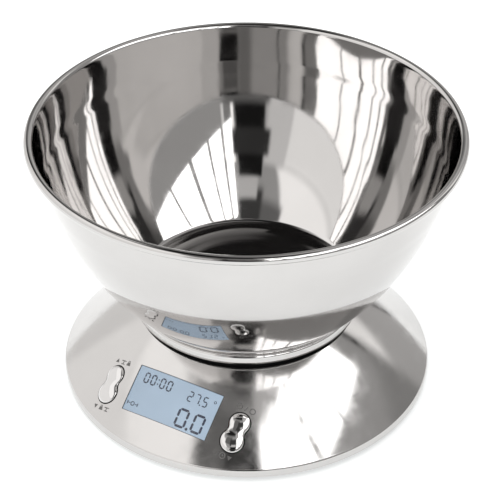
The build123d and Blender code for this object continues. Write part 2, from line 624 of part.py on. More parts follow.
def gauge_leads():
    """Four thin leads from the sealant on the beam to the main board."""
    target = display_plane(BOARD_DEPTH + BOARD_T + 0.05)
    leads = []
    for index in range(4):
        offset = (index - 1.5) * 1.3
        end = target.from_local_coords(Vector(offset, 10.5, 0))
        before = target.from_local_coords(Vector(offset, 10.5, -6))
        start_y = BEAM_Y - 4.6
        height = BEAM_BOTTOM + BEAM_H + 0.95
        leads.append(wire([(offset, start_y, height), (offset, start_y - 9, height),
                           (offset, -38, 14.0), tuple(before), tuple(end)], 0.4, 2.5))
    return leads


def battery_leads():
    """The red and the black lead from the battery box to the main board, laid round the beam."""
    target = display_plane(BOARD_DEPTH + BOARD_T + 0.05)
    leads = []
    for side in (-1, 1):
        end = target.from_local_coords(Vector(side * 17, 11.5, 0))
        before = target.from_local_coords(Vector(side * 17, 11.5, -5))
        x = side * 52
        leads.append(wire([(side * (BOX_L / 2 + BOX_WALL + 0.1), 56, 11), (x, 50, 11), (x, 4, 11),
                           (side * 36, -44, 10), tuple(before), tuple(end)], 0.6, 3.0))
    return leads


def switch_ribbon(side):
    """Flat cable from a switch board to the main board's edge."""
    start = rocker_plane(side, SWITCH_BOTTOM + SWITCH_BOARD_T / 2).from_local_coords(
        Vector(-side * SWITCH_BOARD_W / 2, 0, 0))
    end = display_plane(BOARD_DEPTH + BOARD_T / 2).from_local_coords(Vector(side * BOARD_W / 2, 2.0, 0))
    gap = (end - start)
    plane = Plane(origin=(start + end) / 2, x_dir=gap.normalized(), z_dir=display_plane().z_dir)
    return plane * Box(gap.length - 0.5, 5.0, 0.3)


def build():
    os.makedirs("parts", exist_ok=True)
    pieces = {
        "top_cover": top_cover(),
        "inner_shell": inner_shell(),
        "bottom_housing": bottom_housing(),
        "housing_screws": housing_screws(),
        "load_cell": load_cell(),
        "load_cell_spacer": beam_spacer(-1, BEAM_BOTTOM - SPACER_H),
        "load_cell_screws": fixed_end_screws(),
        "strain_gauges": strain_gauges(),
        "gauge_sealant": gauge_sealant(),
        "gauge_leads": gauge_leads(),
        "platform_spacer": beam_spacer(1, BEAM_BOTTOM + BEAM_H),
        "platform_carrier": platform_carrier(),
        "platform_disc": platform_disc(),
        "platform_screws": platform_screws(),
        "bowl": bowl(),
        "display_window": display_window(),
        "display_holder": display_holder(),
        "display_glass": display_glass(),
        "backlight_panel": backlight_panel(),
        "contact_strip": contact_strip(),
        "main_board": main_board(),
        "board_screws": board_screws(),
        "controller_chip": controller_chip(),
        "buzzer": buzzer(),
        "thermistor": thermistor(),
        "battery_contacts": battery_contacts(),
        "battery_leads": battery_leads(),
        "battery_door": battery_door(),
        "battery_cell_front": battery_cell(-1),
        "battery_cell_rear": battery_cell(1),
    }
    for name, angle in FOOT_ANGLES.items():
        pieces[f"foot_{name}"] = foot(angle)
    for name, side in (("left", -1), ("right", 1)):
        pieces[f"rocker_{name}"] = rocker(side)
        pieces[f"rocker_pin_{name}"] = rocker_pin(side)
        pieces[f"switches_{name}"] = switches(side)
        pieces[f"switch_board_{name}"] = switch_board(side)
        pieces[f"switch_ribbon_{name}"] = switch_ribbon(side)
    for name, shape in pieces.items():
        solids = shape if isinstance(shape, list) else [shape]
        solids = [solid for one in solids for solid in one.solids()]
        export_step(solids[0] if len(solids) == 1 else Compound(children=solids), f"parts/{name}.step")


build()
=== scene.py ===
import json
import math

import bmesh
import bpy
from mathutils import Matrix, Vector


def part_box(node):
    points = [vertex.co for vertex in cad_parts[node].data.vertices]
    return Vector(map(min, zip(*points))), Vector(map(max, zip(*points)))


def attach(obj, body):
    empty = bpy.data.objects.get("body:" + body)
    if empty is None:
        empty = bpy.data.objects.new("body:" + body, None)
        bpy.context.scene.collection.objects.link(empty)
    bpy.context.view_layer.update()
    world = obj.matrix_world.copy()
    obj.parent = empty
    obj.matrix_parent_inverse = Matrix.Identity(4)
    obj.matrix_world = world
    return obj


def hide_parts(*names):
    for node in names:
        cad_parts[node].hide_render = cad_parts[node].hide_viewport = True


bl_info = {
    "name": "Kitchen Scale",
    "version": (1, 0, 0),
    "blender": (4, 5, 0),
    "location": "View3D > Sidebar > Kitchen Scale",
    "description": "Builds the looks of a digital kitchen scale with a lift-off steel bowl",
    "category": "Add Mesh",
}

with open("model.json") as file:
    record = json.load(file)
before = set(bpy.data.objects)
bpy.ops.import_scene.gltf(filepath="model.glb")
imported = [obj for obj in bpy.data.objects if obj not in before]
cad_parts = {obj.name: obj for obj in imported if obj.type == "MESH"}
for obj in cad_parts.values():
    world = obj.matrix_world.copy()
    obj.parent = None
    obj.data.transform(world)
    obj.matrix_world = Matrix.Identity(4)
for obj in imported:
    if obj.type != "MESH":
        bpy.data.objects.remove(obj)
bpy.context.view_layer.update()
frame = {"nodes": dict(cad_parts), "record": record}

MM = 0.001
SPIN_STEPS, BOWL_STEPS = 288, 256


def lowest(node):
    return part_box(node)[0]


def highest(node):
    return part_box(node)[1]


# --------------------------------------------------------------------------- sizes and colours


class ScaleCoverSizes(bpy.types.PropertyGroup):
    """The steel cover: a skirt, and a dome whose arc is turned about the upright axis"""

    skirt_radius: bpy.props.FloatProperty(
        name="Skirt radius", description="Outside radius of the skirt",
        default=highest("top_cover").x, unit="LENGTH")
    skirt_top: bpy.props.FloatProperty(
        name="Skirt top", description="Height where the skirt turns into the dome",
        default=7.0 * MM, unit="LENGTH")
    turn: bpy.props.FloatProperty(
        name="Turn", description="Radius between skirt and dome", default=1.0 * MM, unit="LENGTH")
    sheet: bpy.props.FloatProperty(
        name="Sheet", description="Thickness of the steel", default=0.7 * MM, unit="LENGTH")
    hole_radius: bpy.props.FloatProperty(
        name="Hole radius", description="Radius of the hole under the platform",
        default=54.8 * MM, unit="LENGTH")
    arc_radius: bpy.props.FloatProperty(
        name="Arc radius", description="Radius of the dome's arc", default=302.0 * MM, unit="LENGTH")
    arc_across: bpy.props.FloatProperty(
        name="Arc centre, across", description="The arc's centre lies this far beyond the axis",
        default=-110.88 * MM, unit="LENGTH")
    arc_height: bpy.props.FloatProperty(
        name="Arc centre, height", description="Height of the arc's centre",
        default=-213.20 * MM, unit="LENGTH")


class ScaleBowlSizes(bpy.types.PropertyGroup):
    """The bowl: flat bottom, curved wall and rolled rim"""

    sheet: bpy.props.FloatProperty(
        name="Sheet", description="Thickness of the steel", default=0.8 * MM, unit="LENGTH")
    rim_tube: bpy.props.FloatProperty(
        name="Rim tube", description="Outside diameter of the rolled rim", default=4.5 * MM, unit="LENGTH")
    wall_slope: bpy.props.FloatProperty(
        name="Wall slope", description="Lean of the wall below the rim, from upright",
        default=math.radians(10.2), subtype="ANGLE")
    wall_radius: bpy.props.FloatProperty(
        name="Wall arc radius", description="Radius of the wall's arc", default=160.7 * MM, unit="LENGTH")
    band_end: bpy.props.FloatProperty(
        name="Band end", description="Height where the straight band under the rim ends",
        default=134.65 * MM, unit="LENGTH")
    foot_turn: bpy.props.FloatProperty(
        name="Foot turn", description="Radius between wall and bottom", default=4.0 * MM, unit="LENGTH")
    step_radius: bpy.props.FloatProperty(
        name="Step radius", description="Radius of the raised centre of the bottom",
        default=39.0 * MM, unit="LENGTH")
    step_rise: bpy.props.FloatProperty(
        name="Step rise", description="Height of the raised centre", default=0.9 * MM, unit="LENGTH")
    draw_ring: bpy.props.FloatProperty(
        name="Draw ring", description="Height of the soft step that pressing leaves in the wall",
        default=124.5 * MM, unit="LENGTH")
    draw_depth: bpy.props.FloatProperty(
        name="Draw depth", description="Depth of that step", default=0.20 * MM, unit="LENGTH")


class ScaleDisplaySizes(bpy.types.PropertyGroup):
    """The display window and what it shows"""

    forward: bpy.props.FloatProperty(
        name="Forward", description="Distance of the window's middle from the axis",
        default=74.7 * MM, unit="LENGTH")
    width: bpy.props.FloatProperty(
        name="Width", description="Width of the opening", default=48.4 * MM, unit="LENGTH")
    height: bpy.props.FloatProperty(
        name="Height", description="Height of the opening", default=24.2 * MM, unit="LENGTH")
    slack: bpy.props.FloatProperty(
        name="Slack", description="Gap round the window", default=0.15 * MM, unit="LENGTH")
    recess: bpy.props.FloatProperty(
        name="Recess", description="The window's face lies this far under the steel's",
        default=0.25 * MM, unit="LENGTH")
    depth: bpy.props.FloatProperty(
        name="Depth", description="Depth of the display under the dome, in the middle",
        default=4.1 * MM, unit="LENGTH")
    # Painted shadow: width of the black ring that stands in for the shade along the recessed window's edges; the
    # window pane is made that much smaller.
    shadow_ring: bpy.props.FloatProperty(
        name="Seal", description="Width of the black seal round the window", default=0.35 * MM, unit="LENGTH")


class ScaleRockerSizes(bpy.types.PropertyGroup):
    """A rocker button: two round lobes joined by a waist"""

    across: bpy.props.FloatProperty(
        name="Across", description="Distance of a rocker from the middle", default=36.4 * MM, unit="LENGTH")
    forward: bpy.props.FloatProperty(
        name="Forward", description="Distance of a rocker in front of the axis",
        default=73.0 * MM, unit="LENGTH")
    upper: bpy.props.FloatProperty(
        name="Upper lobe", description="Radius of the upper lobe", default=5.1 * MM, unit="LENGTH")
    lower: bpy.props.FloatProperty(
        name="Lower lobe", description="Radius of the lower lobe", default=5.8 * MM, unit="LENGTH")
    reach: bpy.props.FloatProperty(
        name="Reach", description="Distance of each lobe's centre from the pivot",
        default=4.75 * MM, unit="LENGTH")
    waist: bpy.props.FloatProperty(
        name="Waist", description="Radius of the waist's inward curve", default=4.2 * MM, unit="LENGTH")
    mark: bpy.props.FloatProperty(
        name="Mark", description="Size of the printed marks' grid", default=1.18 * MM, unit="LENGTH")
    proud: bpy.props.FloatProperty(
        name="Proud", description="Height of the lobes above the dome", default=1.5 * MM, unit="LENGTH")
    slack: bpy.props.FloatProperty(
        name="Slack", description="Gap round a rocker", default=0.5 * MM, unit="LENGTH")


class ScaleColours(bpy.types.PropertyGroup):
    """Colours of the finishes"""

    steel: bpy.props.FloatVectorProperty(
        name="Steel", description="Polished stainless steel", default=(0.590, 0.578, 0.570),
        subtype="COLOR", min=0.0, max=1.0)
    chrome: bpy.props.FloatVectorProperty(
        name="Chrome", description="Plated rockers", default=(0.66, 0.65, 0.645),
        subtype="COLOR", min=0.0, max=1.0)
    plastic: bpy.props.FloatVectorProperty(
        name="Plastic", description="Black mouldings", default=(0.022, 0.022, 0.023),
        subtype="COLOR", min=0.0, max=1.0)
    ink: bpy.props.FloatVectorProperty(
        name="Ink", description="Printed marks", default=(0.14, 0.136, 0.132),
        subtype="COLOR", min=0.0, max=1.0)
    display_light: bpy.props.FloatVectorProperty(
        name="Display", description="Lit display", default=(0.345, 0.44, 0.545),
        subtype="COLOR", min=0.0, max=1.0)
    display_ink: bpy.props.FloatVectorProperty(
        name="Segments", description="Dark segments of the display", default=(0.018, 0.025, 0.06),
        subtype="COLOR", min=0.0, max=1.0)


SETTINGS = {
    "scale_cover": ScaleCoverSizes,
    "scale_bowl": ScaleBowlSizes,
    "scale_display": ScaleDisplaySizes,
    "scale_rocker": ScaleRockerSizes,
    "scale_colours": ScaleColours,
}


# --------------------------------------------------------------------------- materials


class Finish:
    """Builds a node material step by step round one Principled shader."""

    def __init__(self, name):
        self.material = bpy.data.materials.new(name)
        self.material.use_nodes = True
        self.nodes = self.material.node_tree.nodes
        self.links = self.material.node_tree.links
        self.shader = self.nodes["Principled BSDF"]
        self.place = self.nodes.new("ShaderNodeTexCoord").outputs["Object"]

    def set(self, **values):
        for key, value in values.items():
            self.shader.inputs[key.replace("_", " ").title().replace("Ior", "IOR")].default_value = value

    def node(self, kind, **settings):
        made = self.nodes.new(kind)
        for key, value in settings.items():
            setattr(made, key, value)
        return made

    def stretched(self, scale):
        mapping = self.node("ShaderNodeMapping")
        mapping.inputs["Scale"].default_value = scale
        self.links.new(self.place, mapping.inputs["Vector"])
        return mapping.outputs["Vector"]

    def noise(self, scale, detail=3.0, rough=0.5, vector=None):
        made = self.node("ShaderNodeTexNoise")
        made.inputs["Scale"].default_value = scale
        made.inputs["Detail"].default_value = detail
        made.inputs["Roughness"].default_value = rough
        self.links.new(vector or self.place, made.inputs["Vector"])
        return made.outputs["Fac"]

    def ranged(self, value, low, high, start=0.3, end=0.7):
        made = self.node("ShaderNodeMapRange")
        made.inputs["From Min"].default_value = start
        made.inputs["From Max"].default_value = end
        made.inputs["To Min"].default_value = low
        made.inputs["To Max"].default_value = high
        self.links.new(value, made.inputs["Value"])
        return made.outputs["Result"]

    def mix(self, factor, first, second):
        made = self.node("ShaderNodeMix", data_type="RGBA")
        for socket, value in ((made.inputs["Factor"], factor), (made.inputs[6], first), (made.inputs[7], second)):
            if isinstance(value, bpy.types.NodeSocket):
                self.links.new(value, socket)
            elif isinstance(value, (int, float)):
                socket.default_value = value
            else:
                socket.default_value = tuple(value)[:3] + (1.0,)
        return made.outputs[2]

    def maths(self, operation, first, second=0.5):
        made = self.node("ShaderNodeMath", operation=operation)
        for socket, value in zip(made.inputs, (first, second)):
            if isinstance(value, bpy.types.NodeSocket):
                self.links.new(value, socket)
            else:
                socket.default_value = value
        return made.outputs[0]

    def colour(self, value):
        self.links.new(value, self.shader.inputs["Base Color"])

    def roughness(self, value):
        self.links.new(value, self.shader.inputs["Roughness"])

    def bump(self, *layers):
        """Each layer is (height socket, distance in metres, strength)."""
        previous = None
        for height, distance, strength in layers:
            made = self.node("ShaderNodeBump")
            made.inputs["Distance"].default_value = distance
            made.inputs["Strength"].default_value = strength
            self.links.new(height, made.inputs["Height"])
            if previous is not None:
                self.links.new(previous, made.inputs["Normal"])
            previous = made.outputs["Normal"]
        self.links.new(previous, self.shader.inputs["Normal"])


def shade(colour, factor):
    return tuple(min(1.0, part * factor) for part in colour)


def polished_steel(colour, name="polished_steel", haze=0.05):
    """Mirror-polished sheet: slow waves from pressing, fine turned polishing lines and a little haze."""
    finish = Finish(name)
    finish.set(metallic=1.0)
    blotch = finish.noise(22.0, 4.0)
    finish.colour(finish.mix(finish.ranged(blotch, 0.0, 1.0), shade(colour, 0.965), shade(colour, 1.03)))
    smear = finish.noise(120.0, 5.0, 0.6)
    finish.roughness(finish.ranged(smear, haze * 0.55, haze * 1.5))
    waves = finish.noise(26.0, 1.5, 0.4)
    lines = finish.noise(9.0, 2.0, 0.6, finish.stretched((60.0, 60.0, 420.0)))
    finish.bump((waves, 0.00016, 0.45), (lines, 0.000004, 0.4))
    return finish.material


def brushed_metal(name, colour, rough=0.32, grain=(900.0, 60.0, 60.0)):
    finish = Finish(name)
    finish.set(metallic=1.0)
    streak = finish.noise(1.0, 4.0, 0.6, finish.stretched(grain))
    finish.colour(finish.mix(streak, shade(colour, 0.8), shade(colour, 1.15)))
    finish.roughness(finish.ranged(streak, rough * 0.75, rough * 1.3))
    finish.bump((streak, 0.00002, 0.3))
    return finish.material


def moulded_plastic(name, colour, rough=0.45, grain=2600.0, depth=0.00004):
    """Moulded plastic with a fine spark-eroded grain."""
    finish = Finish(name)
    speckle = finish.noise(grain, 2.0, 0.5)
    cloud = finish.noise(35.0, 3.0)
    finish.colour(finish.mix(finish.ranged(cloud, 0.0, 1.0), shade(colour, 0.85), shade(colour, 1.2)))
    finish.roughness(finish.ranged(speckle, rough * 0.85, rough * 1.2))
    finish.bump((speckle, depth, 0.5))
    return finish.material


def circuit_board():
    """Green solder resist over copper tracks."""
    finish = Finish("board_green")
    finish.set(roughness=0.35)
    tracks = finish.node("ShaderNodeTexBrick")
    tracks.inputs["Scale"].default_value = 260.0
    tracks.inputs["Mortar Size"].default_value = 0.03
    finish.links.new(finish.place, tracks.inputs["Vector"])
    green = finish.mix(tracks.outputs["Fac"], (0.012, 0.11, 0.035), (0.02, 0.2, 0.07))
    finish.colour(finish.mix(finish.ranged(finish.noise(400.0), 0.0, 0.3), green, (0.02, 0.16, 0.05)))
    finish.bump((tracks.outputs["Fac"], 0.00004, 0.4))
    return finish.material


def chrome_plate(colour):
    """Bright plating over moulded plastic, with the softest waviness."""
    finish = Finish("chrome_plate")
    finish.set(metallic=1.0)
    tone = finish.noise(300.0, 3.0)
    finish.colour(finish.mix(tone, shade(colour, 0.97), shade(colour, 1.02)))
    finish.roughness(finish.ranged(finish.noise(900.0, 3.0), 0.015, 0.05))
    finish.bump((finish.noise(160.0, 1.0), 0.00004, 0.25))
    return finish.material


def clear_plastic():
    """Clear moulded window with the faintest moulding ripple."""
    finish = Finish("clear_window")
    finish.set(transmission_weight=1.0, IOR=1.3, specular_ior_level=0.35)
    finish.colour(finish.mix(finish.noise(40.0), (0.97, 0.985, 1.0), (1.0, 1.0, 1.0)))
    finish.roughness(finish.ranged(finish.noise(300.0), 0.0, 0.02))
    finish.bump((finish.noise(60.0, 1.0), 0.00002, 0.15))
    return finish.material


def lit_display(colour):
    """The lit area: even light with a slow gradient and the fine grain of its diffuser."""
    finish = Finish("lit_display")
    finish.set(roughness=0.4, emission_strength=0.95)
    cloud = finish.ranged(finish.noise(32.0, 2.0), 0.0, 1.0, 0.25, 0.75)
    tint = finish.mix(cloud, shade(colour, 0.90), shade(colour, 1.12))
    finish.colour(finish.mix(0.9, tint, (0.0, 0.0, 0.0)))
    finish.links.new(tint, finish.shader.inputs["Emission Color"])
    finish.bump((finish.noise(3000.0), 0.00001, 0.2))
    return finish.material


def segment_ink(colour):
    finish = Finish("segment_ink")
    tone = finish.noise(500.0)
    finish.colour(finish.mix(tone, shade(colour, 0.8), shade(colour, 1.4)))
    finish.roughness(finish.ranged(tone, 0.4, 0.6))
    finish.bump((tone, 0.000005, 0.1))
    return finish.material


def printed_ink(colour):
    """Pad-printed ink: matt, slightly uneven in cover."""
    finish = Finish("printed_ink")
    tone = finish.noise(900.0, 4.0)
    finish.colour(finish.mix(finish.ranged(tone, 0.0, 1.0), shade(colour, 0.8), shade(colour, 1.25)))
    finish.roughness(finish.ranged(tone, 0.5, 0.75))
    finish.bump((tone, 0.00001, 0.3))
    return finish.material


def foil(name, colour):
    finish = Finish(name)
    zigzag = finish.node("ShaderNodeTexWave")
    zigzag.inputs["Scale"].default_value = 900.0
    finish.links.new(finish.place, zigzag.inputs["Vector"])
    finish.colour(finish.mix(zigzag.outputs["Fac"], colour, shade(colour, 0.45)))
    finish.roughness(finish.ranged(zigzag.outputs["Fac"], 0.3, 0.5))
    return finish.material


def striped_rubber():
    """Thin black and pink layers, one after the other, along the strip."""
    finish = Finish("striped_rubber")
    layers = finish.node("ShaderNodeTexWave", bands_direction="X")
    layers.inputs["Scale"].default_value = 1200.0
    finish.links.new(finish.place, layers.inputs["Vector"])
    finish.colour(finish.mix(layers.outputs["Fac"], (0.55, 0.22, 0.2), (0.03, 0.02, 0.02)))
    finish.roughness(finish.ranged(finish.noise(500.0), 0.55, 0.7))
    return finish.material


def cell_jacket():
    """Battery sleeve: dark blue with a pale ring near one end of each cell."""
    finish = Finish("cell_jacket")
    split = finish.node("ShaderNodeSeparateXYZ")
    finish.links.new(finish.place, split.inputs[0])
    end = finish.maths("GREATER_THAN", finish.maths("ABSOLUTE", split.outputs["X"]), 0.0165)
    colour = finish.mix(end, (0.02, 0.05, 0.16), (0.62, 0.56, 0.42))
    finish.colour(finish.mix(finish.ranged(finish.noise(200.0), 0.0, 0.25), colour, (0.1, 0.12, 0.18)))
    finish.roughness(finish.ranged(finish.noise(700.0), 0.25, 0.4))
    return finish.material


def pale_floor():
    finish = Finish("pale_floor")
    finish.set(roughness=0.9, specular_ior_level=0.0)
    tone = finish.noise(3.0, 3.0)
    finish.colour(finish.mix(tone, (0.80, 0.80, 0.80), (0.83, 0.83, 0.83)))
    finish.set(emission_color=(0.975, 1.0, 1.0, 1.0), emission_strength=0.61)
    return finish.material


# --------------------------------------------------------------------------- shaping helpers


def dome_height(radius, depth=0.0):
    """Height of the steel dome, or of a surface that lies at a depth under it."""
    cover = bpy.context.scene.scale_cover
    across = radius - cover.arc_across
    return cover.arc_height + math.sqrt((cover.arc_radius - depth) ** 2 - across**2)


def dome_normal(x, y):
    cover = bpy.context.scene.scale_cover
    radius = math.hypot(x, y)
    out = (radius - cover.arc_across) / cover.arc_radius
    up = math.sqrt(1.0 - out * out)
    return Vector((out * x / radius, out * y / radius, up))


def dome_place(x, y):
    """A frame on the dome over a point: x across, y up the slope in a plane of constant x, z out."""
    normal = dome_normal(x, y)
    along = Vector((0.0, normal.z, -normal.y)).normalized()
    across = along.cross(normal)
    place = Matrix((across, along, normal)).transposed().to_4x4()
    place.translation = Vector((x, y, dome_height(math.hypot(x, y))))
    return place


def onto_dome(point, proud):
    """Moves a point along the dome's normal until it stands that far proud of the dome."""
    for _ in range(4):
        gap = dome_height(math.hypot(point.x, point.y)) - point.z
        normal = dome_normal(point.x, point.y)
        point = point + normal * (gap * normal.z)
    return point + dome_normal(point.x, point.y) * proud


def arc(middle, radius, start, end, steps):
    """Points (across, height) on an arc, angles in radians from +across towards +height."""
    angles = [start + (end - start) * step / steps for step in range(steps + 1)]
    return [(middle[0] + radius * math.cos(a), middle[1] + radius * math.sin(a)) for a in angles]


def finish_mesh(name, mesh_data, material, smooth=True):
    """Turns a bmesh into an object at the origin with one material."""
    mesh = bpy.data.meshes.new(name)
    mesh_data.to_mesh(mesh)
    mesh_data.free()
    mesh.materials.append(material)
    if smooth:
        mesh.shade_smooth()
    piece = bpy.data.objects.new(name, mesh)
    bpy.context.scene.collection.objects.link(piece)
    return piece


def lathe(name, profile, material, steps=SPIN_STEPS):
    """Turns a closed outline of (radius, height) points about the upright axis."""
    shape = bmesh.new()
    points = [shape.verts.new((r, 0.0, z)) for r, z in profile]
    edges = [shape.edges.new(pair) for pair in zip(points, points[1:] + points[:1])]
    bmesh.ops.spin(shape, geom=points + edges, cent=(0, 0, 0), axis=(0, 0, 1), dvec=(0, 0, 0),
                   angle=2 * math.pi, steps=steps, use_merge=True, use_duplicate=False)
    bmesh.ops.remove_doubles(shape, verts=shape.verts, dist=1e-7)
    bmesh.ops.dissolve_degenerate(shape, edges=shape.edges, dist=1e-8)
    bmesh.ops.recalc_face_normals(shape, faces=shape.faces)
    return finish_mesh(name, shape, material)


def baked(piece):
    """Applies a piece's modifiers to its mesh."""
    graph = bpy.context.evaluated_depsgraph_get()
    mesh = bpy.data.meshes.new_from_object(piece.evaluated_get(graph))
    old = piece.data
    piece.modifiers.clear()
    piece.data = mesh
    bpy.data.meshes.remove(old)


def cut(piece, cutters):
    """Cuts closed cutters out of a piece and removes them."""
    for cutter in cutters:
        hollow = piece.modifiers.new("cut", "BOOLEAN")
        hollow.operation = "DIFFERENCE"
        hollow.solver = "EXACT"
        hollow.object = cutter
    bpy.context.view_layer.update()
    baked(piece)
    for cutter in cutters:
        bpy.data.objects.remove(cutter)


def polish_normals(piece, normal_at):
    """Sets the mesh's normals from the true surface, where normal_at gives one for a point and a face normal."""
    mesh = piece.data
    normals = []
    for face in mesh.polygons:
        for loop in face.loop_indices:
            point = mesh.vertices[mesh.loops[loop].vertex_index].co
            true = normal_at(point, face.normal)
            normals.append(tuple(true if true is not None else face.normal))
    mesh.normals_split_custom_set(normals)


def peanut(grow=0.0, steps=14):
    """Outline of a rocker as (x, y) points in its own plane, counter-clockwise."""
    rocker = bpy.context.scene.scale_rocker
    up, down, reach = rocker.upper + grow, rocker.lower + grow, rocker.reach
    waist = rocker.waist - grow
    span = 2 * reach
    to_up, to_down = up + waist, down + waist
    along = (to_down**2 - to_up**2 + span**2) / (2 * span)
    out = math.sqrt(to_down**2 - along**2)
    waist_y = along - reach
    lean_up = math.atan2(waist_y - reach, out)
    lean_down = math.atan2(waist_y + reach, out)
    right = arc((out, waist_y), waist, math.pi + lean_down, math.pi + lean_up, steps)
    top = arc((0.0, reach), up, lean_up, math.pi - lean_up, 2 * steps)
    left = [(-x, y) for x, y in reversed(right)]
    bottom = arc((0.0, -reach), down, math.pi - lean_down, 2 * math.pi + lean_down, 2 * steps)
    return right[:-1] + top[:-1] + left[:-1] + bottom[:-1]


def prism(name, outline, place, low, high, material=None):
    """A closed upright prism over an outline, set into a place."""
    shape = bmesh.new()
    verts = [shape.verts.new((x, y, low)) for x, y in outline]
    face = shape.faces.new(verts)
    grown = bmesh.ops.extrude_face_region(shape, geom=[face])
    raised = [item for item in grown["geom"] if isinstance(item, bmesh.types.BMVert)]
    bmesh.ops.translate(shape, verts=raised, vec=(0, 0, high - low))
    bmesh.ops.recalc_face_normals(shape, faces=shape.faces)
    bmesh.ops.transform(shape, matrix=place, verts=shape.verts)
    return finish_mesh(name, shape, material or bpy.data.materials.new("cutter"), smooth=False)


def rectangle(width, height, corner, steps=4):
    """A rectangle's outline with rounded corners, counter-clockwise."""
    x, y = width / 2 - corner, height / 2 - corner
    points = []
    for quarter, (cx, cy) in enumerate(((x, y), (-x, y), (-x, -y), (x, -y))):
        points += arc((cx, cy), corner, quarter * math.pi / 2, (quarter + 1) * math.pi / 2, steps)
    return points


def place_piece(piece, body, slot, *nodes):
    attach(piece, body)
    if nodes:
        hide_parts(*nodes)


# --------------------------------------------------------------------------- pieces


# The turn from the skirt into the dome, as shares of its width and of its height, and the lip turned down round the
# hole: radius and sag of its turn, and its depth.
SKIRT_TURN = ((0.03, 0.18), (0.11, 0.36), (0.24, 0.55), (0.44, 0.73), (0.70, 0.88))
LIP_TURN, LIP_SAG, LIP_DEPTH = 1.2 * MM, 0.75 * MM, 2.6 * MM

# How far the cutters for the window and the rockers reach under the dome and above it.
WINDOW_CUT_DEPTH, ROCKER_CUT_DEPTH, CUT_HEIGHT = 9 * MM, 7 * MM, 6 * MM


def cover_profile(cover):
    """The cover's section, from the skirt's edge over the dome to the lip and back underneath."""
    knee = cover.skirt_radius - cover.turn
    skirt_bottom = lowest("top_cover").z
    lip_radius = cover.hole_radius + LIP_TURN
    lip_top = dome_height(lip_radius)

    def dome(start, end, depth, steps):
        radii = [start + (end - start) * step / steps for step in range(steps + 1)]
        return [(r, dome_height(r, depth)) for r in radii]

    def skirt(radius, steps=3):
        top = cover.skirt_top - cover.turn
        return [(radius, skirt_bottom + (top - skirt_bottom) * step / steps) for step in range(steps + 1)]

    turn_low = cover.skirt_top - cover.turn
    turn_rise = dome_height(knee) - turn_low
    turn = [(cover.skirt_radius - cover.turn * x, turn_low + turn_rise * z) for x, z in SKIRT_TURN]
    lip = [(lip_radius - LIP_TURN * math.sin(a), lip_top - LIP_SAG * (1 - math.cos(a)))
           for a in (0.3, 0.6, 0.9, 1.2, 1.5)]
    outside = skirt(cover.skirt_radius) + turn + dome(knee, lip_radius, 0.0, 90) + lip
    outside.append((cover.hole_radius, lip_top - LIP_DEPTH))
    inner_hole = cover.hole_radius + cover.sheet
    inner_skirt = cover.skirt_radius - cover.sheet
    inside = [(inner_hole, lip_top - LIP_DEPTH), (inner_hole, lip_top - 1.0 * MM)]
    inside += dome(cover.hole_radius + 1.6 * MM, inner_skirt, cover.sheet, 24)
    inside += list(reversed(skirt(inner_skirt)))
    return outside + inside


def dome_shine(point, face_normal):
    """The dome's own normal for a point on its outside, or None elsewhere."""
    radius = math.hypot(point.x, point.y)
    cover = bpy.context.scene.scale_cover
    if not cover.hole_radius + 1.1 * MM < radius < cover.skirt_radius - cover.turn * 0.98:
        return None
    if abs(point.z - dome_height(radius)) > 0.02 * MM:
        return None
    true = dome_normal(point.x, point.y)
    return true if true.dot(face_normal) > 0.9 else None


class SCALE_OT_cover(bpy.types.Operator):
    """Steel cover: dome, skirt, lip and the cut-outs for the display and the rockers"""
    bl_idname = "scale.cover"
    bl_label = "Steel cover"

    def execute(self, context):
        scene = context.scene
        cover, display, rocker = scene.scale_cover, scene.scale_display, scene.scale_rocker
        steel = polished_steel(scene.scale_colours.steel, haze=0.12)
        shell = lathe("cover_shell", cover_profile(cover), steel)
        opening = rectangle(display.width, display.height, 0.35 * MM)
        place = dome_place(0.0, -display.forward)
        cutters = [prism("window_cutter", opening, place, -WINDOW_CUT_DEPTH, CUT_HEIGHT)]
        for side in (-1, 1):
            place = dome_place(side * rocker.across, -rocker.forward)
            cutters.append(prism("rocker_cutter", peanut(rocker.slack), place, -ROCKER_CUT_DEPTH, CUT_HEIGHT))
        cut(shell, cutters)
        shell.data.shade_smooth()
        known = {}
        for point, normal in zip((v.co for v in shell.data.vertices), (n.vector for n in shell.data.vertex_normals)):
            known[tuple(round(c, 7) for c in point)] = normal.copy()

        def shine(point, face_normal):
            true = dome_shine(point, face_normal)
            if true is not None:
                return true
            near = known.get(tuple(round(c, 7) for c in point))
            return near if near is not None and near.dot(face_normal) > 0.8 else face_normal

        polish_normals(shell, shine)
        place_piece(shell, "base", "steel", "top_cover")
        return {"FINISHED"}


DRAW_STEP, DRAW_RETURN = 7 * MM, 45 * MM      # heights over which the wall steps in, and comes back


